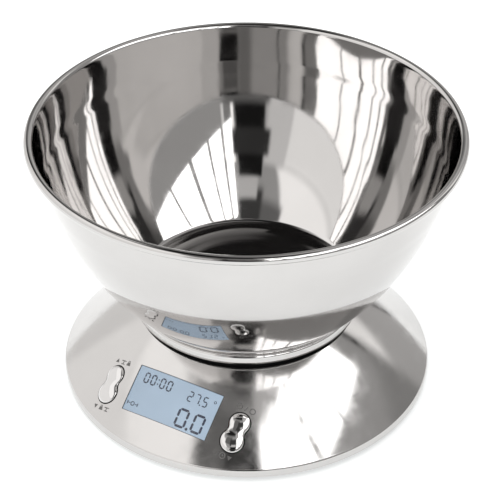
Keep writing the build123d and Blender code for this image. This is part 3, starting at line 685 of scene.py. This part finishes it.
def bowl_profile(bowl):
    """The bowl's section: outside from the rim down, inside back up, and the rolled rim."""
    tube, sheet = bowl.rim_tube / 2, bowl.sheet
    rim = (highest("bowl").x - tube, highest("bowl").z - tube)
    lean = bowl.wall_slope
    out, along = (math.cos(lean), -math.sin(lean)), (math.sin(lean), math.cos(lean))
    start = (rim[0] - out[0] * (tube - sheet), rim[1] - out[1] * (tube - sheet))
    run = (start[1] - bowl.band_end) / along[1]
    band = (start[0] - along[0] * run, bowl.band_end)
    centre = (band[0] - out[0] * bowl.wall_radius, band[1] - out[1] * bowl.wall_radius)
    bottom = lowest("bowl").z
    turn = bowl.foot_turn
    reach = bowl.wall_radius - turn
    low = math.asin((centre[1] - bottom - turn) / reach)
    corner = (centre[0] + reach * math.cos(low), bottom + turn)

    def ease(value):
        value = min(1.0, max(0.0, value))
        return value * value * (3 - 2 * value)

    def pressed(points):
        """Draws the wall in a little below the ring, then lets it come back."""
        moved = []
        for r, z in points:
            under = bowl.draw_ring - z
            dent = bowl.draw_depth * ease(under / DRAW_STEP) * (1 - ease((under - DRAW_STEP) / DRAW_RETURN))
            moved.append((r - dent, z))
        return moved

    def band_line(offset, steps=6):
        return [(start[0] - offset * out[0] - along[0] * run * step / steps,
                 start[1] - offset * out[1] - along[1] * run * step / steps) for step in range(steps + 1)]

    def floor(z_offset, inset, steps=10):
        edge, step = corner[0], bowl.step_radius - inset
        slope = 1.2 * MM
        flat = [(edge + (step - edge) * s / 4, bottom + z_offset) for s in range(1, 4)]
        rise = [(step - slope * s / 6, bottom + z_offset + bowl.step_rise * (0.5 - 0.5 * math.cos(math.pi * s / 6)))
                for s in range(7)]
        raised = [((step - slope) * (1 - s / steps), bottom + z_offset + bowl.step_rise)
                  for s in range(1, steps + 1)]
        return flat + rise + raised

    def side(offset):
        wall = pressed(arc(centre, bowl.wall_radius - offset, -lean, -low, 120))
        foot = arc(corner, turn - offset, -low, -math.pi / 2, 10)
        return wall[1:] + foot[1:]

    outside = band_line(0.0) + side(0.0) + floor(0.0, 0.0)
    inside = band_line(sheet) + side(sheet) + floor(sheet, 0.2 * MM)
    begin, end = math.pi - lean, math.radians(-130)
    roll = arc(rim, tube, begin, end, 34)
    inner_roll = arc(rim, tube - sheet, end, begin, 20)
    return outside + list(reversed(inside)) + roll[1:] + inner_roll[:-1]


class SCALE_OT_bowl(bpy.types.Operator):
    """Lift-off bowl with its rolled rim"""
    bl_idname = "scale.bowl"
    bl_label = "Bowl"

    def execute(self, context):
        scene = context.scene
        steel = polished_steel(scene.scale_colours.steel, "bowl_steel")
        bowl = lathe("bowl_sheet", bowl_profile(scene.scale_bowl), steel, steps=BOWL_STEPS)
        place_piece(bowl, "bowl", "steel", "bowl")
        return {"FINISHED"}


CAP_TURN, CAP_SHEET = 1.6 * MM, 0.6 * MM


class SCALE_OT_platform(bpy.types.Operator):
    """Round steel cap the bowl stands on"""
    bl_idname = "scale.platform"
    bl_label = "Platform"

    def execute(self, context):
        steel = polished_steel(context.scene.scale_colours.steel, "platform_steel")
        radius, top, bottom = highest("platform_disc").x, highest("platform_disc").z, lowest("platform_disc").z
        turn, sheet = CAP_TURN, CAP_SHEET
        outside = [((radius - turn) * s / 12, top) for s in range(12)]
        outside += arc((radius - turn, top - turn), turn, math.pi / 2, 0.0, 12)
        outside += [(radius, top - turn - (top - turn - bottom) * s / 3) for s in (1, 2, 3)]
        inside = [(radius - sheet, bottom), (radius - sheet, top - turn)]
        inside += arc((radius - turn, top - turn), turn - sheet, 0.0, math.pi / 2, 6)[1:]
        inside.append((0.0, top - sheet))
        cap = lathe("platform_cap", outside + inside, steel)
        place_piece(cap, "platform", "steel", "platform_disc")
        return {"FINISHED"}


class SCALE_OT_rockers(bpy.types.Operator):
    """The two chromed rocker buttons"""
    bl_idname = "scale.rockers"
    bl_label = "Rockers"

    def execute(self, context):
        scene = context.scene
        rocker = scene.scale_rocker
        chrome = chrome_plate(scene.scale_colours.chrome)
        for name, side in (("left", -1), ("right", 1)):
            place = dome_place(side * rocker.across, -rocker.forward)
            shape = self.puffed(rocker)
            bmesh.ops.transform(shape, matrix=place, verts=shape.verts)
            bmesh.ops.recalc_face_normals(shape, faces=shape.faces)
            piece = finish_mesh(f"rocker_{name}_cap", shape, chrome)
            place_piece(piece, f"rocker_{name}", "chromed_plastic", f"rocker_{name}")
        return {"FINISHED"}

    def puffed(self, rocker):
        """A closed cap that swells from its outline to a ridge between the lobes' centres."""
        shape = bmesh.new()
        outline = peanut(0.0, 18)
        skirt, shoulder = -2.4 * MM, 0.15 * MM
        verts = [shape.verts.new((x, y, skirt)) for x, y in outline]
        edges = [shape.edges.new(pair) for pair in zip(verts, verts[1:] + verts[:1])]
        shape.faces.new(verts)
        rings = [(0.0, shoulder)]
        swell = 12
        for step in range(1, swell + 1):
            angle = math.pi / 2 * step / swell
            rings.append((1 - math.cos(angle), math.sin(angle)))
        spine = [(0.0, max(-rocker.reach, min(rocker.reach, y))) for x, y in outline]
        widths = [math.hypot(x - s[0], y - s[1]) for (x, y), s in zip(outline, spine)]
        for index, (inward, rise) in enumerate(rings):
            grown = bmesh.ops.extrude_edge_only(shape, edges=edges)
            new = {item for item in grown["geom"] if isinstance(item, bmesh.types.BMVert)}
            ordered = []
            for old in verts:
                match = next(e.other_vert(old) for e in old.link_edges if e.other_vert(old) in new)
                ordered.append(match)
            for vert, (x, y), (sx, sy), width in zip(ordered, outline, spine, widths):
                height = rocker.proud * (0.35 + 0.65 * width / rocker.lower)
                if index == 0:
                    vert.co = (x, y, shoulder)
                else:
                    vert.co = (x + (sx - x) * inward, y + (sy - y) * inward, shoulder + (height - shoulder) * rise)
            verts = ordered
            edges = [next(e for e in a.link_edges if e.other_vert(a) is b)
                     for a, b in zip(verts, verts[1:] + verts[:1])]
        bmesh.ops.remove_doubles(shape, verts=shape.verts, dist=1e-7)
        loose = [e for e in shape.edges if e.is_boundary]
        if loose:
            bmesh.ops.holes_fill(shape, edges=loose)
        return shape


# Which bars of a seven-bar figure are dark: top, upper left, upper right, middle, lower left, lower right, bottom.
FIGURES = {"0": "1110111", "2": "1011101", "5": "1101011", "7": "1010010"}


def figure_bars(digit, width, height, weight):
    """Outlines of the dark bars of one figure, in a box from 0, 0."""
    half = weight / 2
    gap = weight * 0.12
    left, right, low, mid, high = half, width - half, half, height / 2, height - half
    ends = {
        0: ((left, high), (right, high)), 1: ((left, mid), (left, high)), 2: ((right, mid), (right, high)),
        3: ((left, mid), (right, mid)), 4: ((left, low), (left, mid)), 5: ((right, low), (right, mid)),
        6: ((left, low), (right, low)),
    }
    bars = []
    for index, dark in enumerate(FIGURES[digit]):
        if dark == "0":
            continue
        (x0, y0), (x1, y1) = ends[index]
        if y0 == y1:
            x0, x1 = x0 + gap, x1 - gap
            bars.append([(x0, y0), (x0 + half, y0 - half), (x1 - half, y0 - half), (x1, y0),
                         (x1 - half, y0 + half), (x0 + half, y0 + half)])
        else:
            y0, y1 = y0 + gap, y1 - gap
            bars.append([(x0, y0), (x0 + half, y0 + half), (x0 + half, y1 - half), (x0, y1),
                         (x0 - half, y1 - half), (x0 - half, y0 + half)])
    return bars


def dot(x, y, radius, steps=12):
    return [(x + radius * math.cos(2 * math.pi * s / steps), y + radius * math.sin(2 * math.pi * s / steps))
            for s in range(steps)]


def bar(x0, y0, x1, y1, weight):
    """A straight stroke between two points."""
    length = math.hypot(x1 - x0, y1 - y0)
    nx, ny = -(y1 - y0) / length * weight / 2, (x1 - x0) / length * weight / 2
    return [(x0 - nx, y0 - ny), (x1 - nx, y1 - ny), (x1 + nx, y1 + ny), (x0 + nx, y0 + ny)]


def stroke_ring(x, y, radius, weight, start=0.0, end=2 * math.pi, steps=20):
    """A round stroke as four-sided pieces, from one angle to another."""
    pieces = []
    for step in range(steps):
        a, b = (start + (end - start) * s / steps for s in (step, step + 1))
        near, far = radius - weight / 2, radius + weight / 2
        corners = [(near, a), (far, a), (far, b), (near, b)]
        pieces.append([(x + r * math.cos(t), y + r * math.sin(t)) for r, t in corners])
    return pieces


def reading(text, x, y, width, height, weight, gap):
    """Bars for a row of figures that starts at x, y."""
    bars = []
    for character in text:
        if character == ":":
            bars += [dot(x + weight * 0.3, y + height * part, weight * 0.5) for part in (0.3, 0.7)]
            x += weight + gap * 0.6
        elif character == ".":
            bars.append(dot(x - gap / 2 + weight * 0.1, y + weight * 0.5, weight * 0.62))
            x += weight * 0.5
        else:
            outlines = figure_bars(character, width, height, weight)
            bars += [[(px + x, py + y) for px, py in points] for points in outlines]
            x += width + gap
    return bars


def flat_marks(name, outlines, place, thickness, material, wrap=None):
    """Thin closed marks over outlines in a plane. wrap moves each finished point, to follow a curved face."""
    shape = bmesh.new()
    for points in outlines:
        face = shape.faces.new([shape.verts.new((x, y, 0.0)) for x, y in points])
        face.normal_update()
    bmesh.ops.remove_doubles(shape, verts=shape.verts, dist=1e-7)
    grown = bmesh.ops.extrude_face_region(shape, geom=list(shape.faces))
    raised = [item for item in grown["geom"] if isinstance(item, bmesh.types.BMVert)]
    bmesh.ops.translate(shape, verts=raised, vec=(0, 0, thickness))
    if wrap:
        for vert in shape.verts:
            vert.co = wrap(place @ Vector((vert.co.x, vert.co.y, 0.0)), vert.co.z)
    else:
        bmesh.ops.transform(shape, matrix=place, verts=shape.verts)
    bmesh.ops.recalc_face_normals(shape, faces=shape.faces)
    return finish_mesh(name, shape, material, smooth=False)


GLASS_WIDTH, GLASS_HEIGHT, GLASS_THICKNESS = 50.6 * MM, 27.0 * MM, 2.0 * MM
# Depths under the steel's face of the black ring that paints the shadow in the window's recess.
SHADOW_RING_TOP, SHADOW_RING_BOTTOM = 0.06 * MM, 0.6 * MM
INK_THICKNESS = 0.03 * MM


class SCALE_OT_display(bpy.types.Operator):
    """Clear window, lit area and the dark figures of the reading"""
    bl_idname = "scale.display"
    bl_label = "Display"

    def execute(self, context):
        scene = context.scene
        display, colours = scene.scale_display, scene.scale_colours
        place = dome_place(0.0, -display.forward)
        self.window(display, place)
        back = place @ Matrix.Translation((0, 0, -display.depth))
        glass = rectangle(GLASS_WIDTH, GLASS_HEIGHT, 0.3 * MM)
        lit = prism("display_face", glass, back, -GLASS_THICKNESS, 0.0, lit_display(colours.display_light))
        place_piece(lit, "base", "display", "display_glass")
        # A black ring of painted shadow round the window, in place of the recess's shade.
        self.recess_shadow_ring(display, place)
        figures = flat_marks("display_figures", self.shown(display), back @ Matrix.Translation((0, 0, 0.01 * MM)),
                             INK_THICKNESS, segment_ink(colours.display_ink))
        place_piece(figures, "base", "display")
        return {"FINISHED"}

    def window(self, display, place):
        """The window's face follows the dome and its back is flat."""
        shape = bmesh.new()
        width, height = display.width - 2 * display.shadow_ring, display.height - 2 * display.shadow_ring
        bmesh.ops.create_grid(shape, x_segments=48, y_segments=24, size=0.5)
        bmesh.ops.scale(shape, vec=(width, height, 1.0), verts=shape.verts)
        grown = bmesh.ops.extrude_face_region(shape, geom=list(shape.faces))
        raised = {item for item in grown["geom"] if isinstance(item, bmesh.types.BMVert)}
        for vert in shape.verts:
            flat = place @ Vector((vert.co.x, vert.co.y, 0.0))
            if vert in raised:
                vert.co = self.down_to(flat, place, display.recess)
            else:
                vert.co = flat - place.col[2].to_3d() * (display.depth - 0.1 * MM)
        bmesh.ops.recalc_face_normals(shape, faces=shape.faces)
        piece = finish_mesh("window_pane", shape, clear_plastic())
        piece.data.set_sharp_from_angle(angle=math.radians(40))
        place_piece(piece, "base", "clear_window", "display_window")

    def recess_shadow_ring(self, display, place):
        """A thin black ring in the gap between window and steel, just under the steel's face: painted shadow that
        stands in for the shade along the window's recessed edges.
        """
        shape = bmesh.new()
        inner_w, inner_h = display.width - 1.3 * display.shadow_ring, display.height - 1.3 * display.shadow_ring
        bmesh.ops.create_grid(shape, x_segments=32, y_segments=16, size=0.5)
        bmesh.ops.scale(shape, vec=(inner_w, inner_h, 1.0), verts=shape.verts)
        bmesh.ops.delete(shape, geom=[f for f in shape.faces], context="FACES_KEEP_BOUNDARY")
        rim = [edge for edge in shape.edges if not edge.link_faces]
        grown = bmesh.ops.extrude_edge_only(shape, edges=rim)
        outer = {item for item in grown["geom"] if isinstance(item, bmesh.types.BMVert)}
        for vert in outer:
            vert.co.x *= (display.width - 0.04 * MM) / inner_w
            vert.co.y *= (display.height - 0.04 * MM) / inner_h
        grown = bmesh.ops.extrude_face_region(shape, geom=list(shape.faces))
        raised = {item for item in grown["geom"] if isinstance(item, bmesh.types.BMVert)}
        for vert in shape.verts:
            depth = SHADOW_RING_TOP if vert in raised else SHADOW_RING_BOTTOM
            vert.co = self.down_to(place @ Vector((vert.co.x, vert.co.y, 0.0)), place, depth)
        bmesh.ops.recalc_face_normals(shape, faces=shape.faces)
        # Near-black colour for the ring of painted shadow round the window.
        black = moulded_plastic("recess_shadow_black", (0.012, 0.012, 0.013), 0.6)
        place_piece(finish_mesh("window_recess_shadow", shape, black, smooth=False), "base", "black_plastic")

    def down_to(self, point, place, depth):
        """Slides a point along the plane's normal to a depth under the dome."""
        normal = place.col[2].to_3d()
        for _ in range(6):
            gap = dome_height(math.hypot(point.x, point.y), depth) - point.z
            point = point + normal * (gap * normal.z)
        return point

    def shown(self, display):
        """The reading: a clock, a temperature, a weight and a zero mark, all generic."""
        half_w, half_h = display.width / 2, display.height / 2
        marks = reading("00:00", -half_w + 4.2 * MM, half_h - 8.0 * MM, 3.0 * MM, 5.6 * MM, 0.74 * MM, 1.0 * MM)
        marks += reading("27.5", half_w - 18.2 * MM, half_h - 8.9 * MM, 2.8 * MM, 5.4 * MM, 0.62 * MM, 1.25 * MM)
        marks += stroke_ring(half_w - 3.4 * MM, half_h - 4.6 * MM, 0.6 * MM, 0.34 * MM, steps=14)
        marks += reading("0.0", half_w - 19.6 * MM, -half_h + 1.6 * MM, 6.3 * MM, 9.8 * MM, 1.22 * MM, 2.2 * MM)
        marks += self.level_mark(-half_w + 4.0 * MM, -half_h + 4.4 * MM)
        return marks

    def level_mark(self, x, y):
        """A ring between two short bars with end stops: the balance is at zero."""
        marks = stroke_ring(x, y, 0.95 * MM, 0.44 * MM, steps=18)
        for side in (-1, 1):
            marks.append(bar(x + side * 1.45 * MM, y, x + side * 2.55 * MM, y, 0.44 * MM))
            marks.append(bar(x + side * 2.95 * MM, y - 0.9 * MM, x + side * 2.95 * MM, y + 0.9 * MM, 0.44 * MM))
        return marks


MARK_GAP = 2.6 * MM      # from a rocker's edge to the middle of its marks


def pictograms():
    """Generic marks beside the rockers: side, up or down, and strokes in millimetres."""
    arrow_up = [[(-1.0, -0.8), (1.0, -0.8), (0.0, 1.0)]]
    arrow_down = [[(-1.0, 0.8), (0.0, -1.0), (1.0, 0.8)]]
    weight = [[(-1.1, -1.0), (1.1, -1.0), (0.7, 0.4), (-0.7, 0.4)]] + stroke_ring(0.0, 0.72, 0.42, 0.28)
    pan = [bar(-1.3, 0.6, 1.3, 0.6, 0.4), bar(0.0, -0.9, 0.0, 0.6, 0.4), bar(-0.9, -0.9, 0.9, -0.9, 0.4)]
    power = stroke_ring(0.0, 0.0, 1.15, 0.42, math.radians(125), math.radians(415), 24)
    power.append(bar(0.0, 0.2, 0.0, 1.5, 0.42))
    clock = stroke_ring(0.0, 0.0, 1.2, 0.4, steps=24)
    clock += [bar(0.0, -0.1, 0.0, 0.8, 0.36), bar(-0.1, 0.0, 0.6, 0.0, 0.36)]
    slash = [bar(-0.35, -1.0, 0.35, 1.0, 0.36)]

    def row(*spaced):
        return [[(px + x, py) for px, py in points] for x, strokes in spaced for points in strokes]

    return {
        "mark_tare": (-1, 1, row((-2.6, arrow_up), (0.9, pan), (4.0, weight))),
        "mark_units": (-1, -1, row((-3.4, arrow_down), (-0.1, weight), (3.0, pan))),
        "mark_power": (1, 1, row((-2.9, power), (0.0, slash), (2.9, stroke_ring(0.0, 0.0, 1.15, 0.4, steps=24)))),
        "mark_timer": (1, -1, row((-1.4, clock), (1.7, arrow_down))),
    }


class SCALE_OT_marks(bpy.types.Operator):
    """Printed pictograms above and below each rocker"""
    bl_idname = "scale.marks"
    bl_label = "Printed marks"

    def execute(self, context):
        scene = context.scene
        rocker = scene.scale_rocker
        ink = printed_ink(scene.scale_colours.ink)
        mark = rocker.mark
        for name, (side, up, strokes) in pictograms().items():
            lobe = rocker.upper if up > 0 else rocker.lower
            away = up * (rocker.reach + lobe + MARK_GAP)
            place = dome_place(side * rocker.across, -rocker.forward) @ Matrix.Translation((0, away, 0))
            outlines = [[(x * mark, y * mark) for x, y in points] for points in strokes]
            piece = flat_marks(name, outlines, place, INK_THICKNESS, ink,
                               wrap=lambda point, rise: onto_dome(point, 0.01 * MM + rise))
            place_piece(piece, "base", "steel")
        return {"FINISHED"}


SLOT_FINISHES = {
    "black_plastic": lambda c: moulded_plastic("black_plastic", c.plastic),
    "grey_plastic": lambda c: moulded_plastic("grey_plastic", (0.42, 0.42, 0.41), 0.5),
    "foot_rubber": lambda c: moulded_plastic("foot_rubber", (0.03, 0.03, 0.031), 0.75, 1500.0, 0.00008),
    "light_panel": lambda c: moulded_plastic("light_panel", (0.75, 0.82, 0.9), 0.3, 900.0),
    "strip_rubber": lambda c: striped_rubber(),
    "circuit_board": lambda c: circuit_board(),
    "black_resin": lambda c: moulded_plastic("black_resin", (0.012, 0.012, 0.012), 0.2, 600.0),
    "component_black": lambda c: moulded_plastic("component_black", (0.03, 0.03, 0.03), 0.4),
    "beam_aluminium": lambda c: brushed_metal("beam_aluminium", (0.68, 0.69, 0.70), 0.35),
    "zinc_steel": lambda c: brushed_metal("zinc_steel", (0.55, 0.55, 0.53), 0.3, (500.0, 500.0, 500.0)),
    "gauge_foil": lambda c: foil("gauge_foil", (0.55, 0.33, 0.1)),
    "sealant": lambda c: moulded_plastic("sealant", (0.8, 0.8, 0.78), 0.4, 300.0, 0.0002),
    "wire_cover": lambda c: moulded_plastic("wire_cover", (0.3, 0.03, 0.025), 0.4),
    "spring_steel": lambda c: brushed_metal("spring_steel", (0.7, 0.7, 0.68), 0.25, (400.0, 400.0, 400.0)),
    "cell_jacket": lambda c: cell_jacket(),
}


class SCALE_OT_carried(bpy.types.Operator):
    """Finishes for the pieces whose shape comes from the frame"""
    bl_idname = "scale.carried"
    bl_label = "Inner and lower pieces"

    def execute(self, context):
        colours = context.scene.scale_colours
        finishes = {slot: make(colours) for slot, make in SLOT_FINISHES.items()}
        for part in frame["record"]["subparts"]:
            material = finishes.get(part["material_slot"])
            node = frame["nodes"][part["node"]]
            if material is not None:
                node.data.materials.clear()
                node.data.materials.append(material)
        return {"FINISHED"}


# --------------------------------------------------------------------------- stage

CAMERA_AZIMUTH = math.radians(30.1)
CAMERA_ELEVATION = math.radians(35.92)
CAMERA_DISTANCE = 883.9 * MM
CAMERA_AIM = 70.4 * MM
CAMERA_LENS = 124.97

# Studio panels round the scale, later ones over earlier ones. In degrees: azimuth from the camera's side and
# elevation of the middle, half width and half height, edge softness, and how far the azimuth leans for each degree
# up. Last, the brightness.
PANELS = [
    ("ceiling", 0, 90, 400, 24, 8, 0, 0.02),
    ("ceiling_right", 70, 67, 62, 6, 6, 0, 0.60),
    ("left_wall", -84, 10, 56, 24, 4, 0, 1.12),
    ("left_wall_upper", -92, 46, 58, 12, 6, -0.9, 1.34),
    ("left_back", -141, 20, 9.5, 44, 5, 0, 0.93),
    ("shade", -24, 56, 15, 8, 5, 0, 0.17),
    ("shade_centre", -4, 52, 12, 8, 5, 0, 0.06),
    ("wall_edge", -21, 22, 8, 13, 4, 0, 0.78),
    ("strip_gap", 12.4, 24, 4.6, 13, 1.2, 0, 0.28),
    ("strip_1", 9.0, 24, 0.8, 11, 0.8, 0, 1.6),
    ("strip_2", 15.2, 23, 0.9, 10, 0.8, 0, 1.4),
    ("column_top", 0, 44, 10, 4, 3, 0, 0.65),
    ("column", -2.5, 24, 9.5, 16, 2, -0.05, 0.012),
    ("column_waist", -3, 27, 13, 5, 3, 0, 0.04),
    ("column_foot", 0, 8, 14, 5, 4, 0, 0.16),
    ("right_low", 65, 13, 50, 20, 6, 0, 0.42),
    ("right_dark", 108, 12, 14, 16, 8, 0, 0.30),
    ("right_far", 128, 32, 8, 13, 7, 0, 1.2),
    ("right_far_low", 131, 8, 12, 10, 8, 0, 0.52),
    ("right_slot", 118, 40, 1.6, 12, 1.5, 0, 0.10),
    ("back_1", 163, 30, 24, 40, 28, 0, 0.58),
    ("back_2", 182, 30, 7, 40, 8, 0, 0.28),
    ("back_strip", 146, 30, 1.2, 40, 1.0, 0, 0.25),
    ("back_dim", -163, 16, 8, 13, 2, 0, 0.17),
    ("back_dark", -161, 50, 10, 20, 2, 0, 0.015),
]
WALL_GREY = 0.42

# The window light stands upright to the right of the scale: azimuth from the camera's side, distance, height of its
# lower edge and radiance. For each lit field: where it begins and ends along the window, and its upper edge.
WINDOW_AZIMUTH = math.radians(66)
WINDOW_DISTANCE = 0.49
WINDOW_LOW = 0.412
WINDOW_RADIANCE = 2.7
WINDOW_FIELDS = [(-0.72, -0.585, 1.30), (-0.545, -0.395, 1.16), (-0.370, -0.204, 1.04), (-0.172, 0.018, 0.95),
                 (0.034, 0.330, 0.95)]


class SCALE_OT_stage(bpy.types.Operator):
    """Pale floor, soft studio light and the camera"""
    bl_idname = "scale.stage"
    bl_label = "Studio"

    def execute(self, context):
        self.floor()
        self.lights()
        self.surroundings(context.scene)
        self.camera(context.scene)
        context.scene.view_settings.view_transform = "Standard"
        return {"FINISHED"}

    def floor(self):
        shape = bmesh.new()
        bmesh.ops.create_circle(shape, cap_ends=True, radius=6.0, segments=96)
        finish_mesh("floor", shape, pale_floor(), smooth=False)

    def lights(self):
        """A broad light overhead that lifts the floor and the matt pieces, and the window light's lit fields."""
        self.area("overhead", (0.0, 0.0, 2.2), (0.0, 0.0, 0.0), (2.8, 2.8), 1.05).visible_glossy = False
        azimuth = WINDOW_AZIMUTH + CAMERA_AZIMUTH
        out = Vector((math.sin(azimuth), -math.cos(azimuth), 0.0))
        along = Vector((math.cos(azimuth), math.sin(azimuth), 0.0))
        for number, (start, end, top) in enumerate(WINDOW_FIELDS, 1):
            height = top - WINDOW_LOW
            middle = out * WINDOW_DISTANCE + along * (start + end) / 2
            middle.z = WINDOW_LOW + height / 2
            field = self.area(f"window_{number}", middle, (math.pi / 2, 0.0, azimuth), (end - start, height),
                              WINDOW_RADIANCE)
            field.visible_diffuse = False

    def area(self, name, place, turn, size, radiance):
        """A rectangular light of a given radiance that the camera itself doesn't see."""
        data = bpy.data.lights.new(name, "AREA")
        data.shape, data.size, data.size_y = "RECTANGLE", *size
        data.energy = radiance * math.pi * size[0] * size[1]
        lamp = bpy.data.objects.new(name, data)
        lamp.location, lamp.rotation_euler = place, turn
        lamp.visible_camera = False
        bpy.context.scene.collection.objects.link(lamp)
        return lamp

    def surroundings(self, scene):
        """A grey room of soft panels, set out by direction."""
        world = bpy.data.worlds.new("studio")
        world.use_nodes = True
        scene.world = world
        nodes, links = world.node_tree.nodes, world.node_tree.links

        def maths(operation, *values):
            made = nodes.new("ShaderNodeMath")
            made.operation = operation
            for socket, value in zip(made.inputs, values):
                if isinstance(value, bpy.types.NodeSocket):
                    links.new(value, socket)
                else:
                    socket.default_value = value
            return made.outputs[0]

        place = nodes.new("ShaderNodeTexCoord").outputs["Generated"]
        turn = nodes.new("ShaderNodeVectorRotate")
        turn.rotation_type = "Z_AXIS"
        turn.inputs["Angle"].default_value = -CAMERA_AZIMUTH
        links.new(place, turn.inputs["Vector"])
        split = nodes.new("ShaderNodeSeparateXYZ")
        links.new(turn.outputs[0], split.inputs[0])
        azimuth = maths("DEGREES", maths("ARCTAN2", split.outputs["X"], maths("MULTIPLY", split.outputs["Y"], -1.0)))
        elevation = maths("DEGREES", maths("ARCSINE", split.outputs["Z"]))

        def within(value, middle, half, soft):
            made = nodes.new("ShaderNodeMapRange")
            made.interpolation_type = "SMOOTHSTEP"
            made.inputs["From Min"].default_value = half + soft / 2
            made.inputs["From Max"].default_value = half - soft / 2
            made.inputs["To Min"].default_value, made.inputs["To Max"].default_value = 0.0, 1.0
            links.new(maths("ABSOLUTE", maths("SUBTRACT", value, middle)), made.inputs["Value"])
            return made.outputs["Result"]

        light = WALL_GREY
        for _, across, up, half_width, half_height, soft, lean, brightness in PANELS:
            sideways = maths("SUBTRACT", azimuth, maths("MULTIPLY", maths("SUBTRACT", elevation, up), lean))
            sideways = maths("WRAP", maths("SUBTRACT", sideways, across), 180.0, -180.0)
            mask = maths("MULTIPLY", within(sideways, 0.0, half_width, soft),
                         within(elevation, up, half_height, soft))
            change = maths("MULTIPLY", mask, maths("SUBTRACT", brightness, light))
            light = maths("ADD", light, change)
        background = nodes["Background"]
        background.inputs["Color"].default_value = (1.0, 0.985, 0.97, 1.0)
        links.new(light, background.inputs["Strength"])

    def camera(self, scene):
        data = bpy.data.cameras.new("camera")
        data.sensor_width, data.lens = 36.0, CAMERA_LENS
        camera = bpy.data.objects.new("camera", data)
        side, flat = math.sin(CAMERA_AZIMUTH), math.cos(CAMERA_AZIMUTH)
        reach = math.cos(CAMERA_ELEVATION) * CAMERA_DISTANCE
        camera.location = (side * reach, -flat * reach, CAMERA_AIM + math.sin(CAMERA_ELEVATION) * CAMERA_DISTANCE)
        camera.rotation_euler = (math.pi / 2 - CAMERA_ELEVATION, 0.0, CAMERA_AZIMUTH)
        scene.collection.objects.link(camera)
        scene.camera = camera


class SCALE_PT_panel(bpy.types.Panel):
    """Sizes, colours and the steps that build the scale"""
    bl_idname = "SCALE_PT_panel"
    bl_label = "Kitchen Scale"
    bl_space_type = "VIEW_3D"
    bl_region_type = "UI"
    bl_category = "Kitchen Scale"

    def draw(self, context):
        for operator in OPERATORS:
            self.layout.operator(operator.bl_idname)
        for name, group in SETTINGS.items():
            box = self.layout.box()
            for key in group.__annotations__:
                box.prop(getattr(context.scene, name), key)


OPERATORS = [
    SCALE_OT_stage,
    SCALE_OT_carried,
    SCALE_OT_cover,
    SCALE_OT_platform,
    SCALE_OT_bowl,
    SCALE_OT_rockers,
    SCALE_OT_display,
    SCALE_OT_marks,
]
CLASSES = [*SETTINGS.values(), *OPERATORS, SCALE_PT_panel]


def register():
    for made in CLASSES:
        bpy.utils.register_class(made)
    for name, group in SETTINGS.items():
        setattr(bpy.types.Scene, name, bpy.props.PointerProperty(type=group))


def unregister():
    for name in SETTINGS:
        delattr(bpy.types.Scene, name)
    for made in reversed(CLASSES):
        bpy.utils.unregister_class(made)


def main():
    register()
    for operator in OPERATORS:
        group, name = operator.bl_idname.split(".")
        getattr(getattr(bpy.ops, group), name)()


if __name__ == "__main__":
    main()
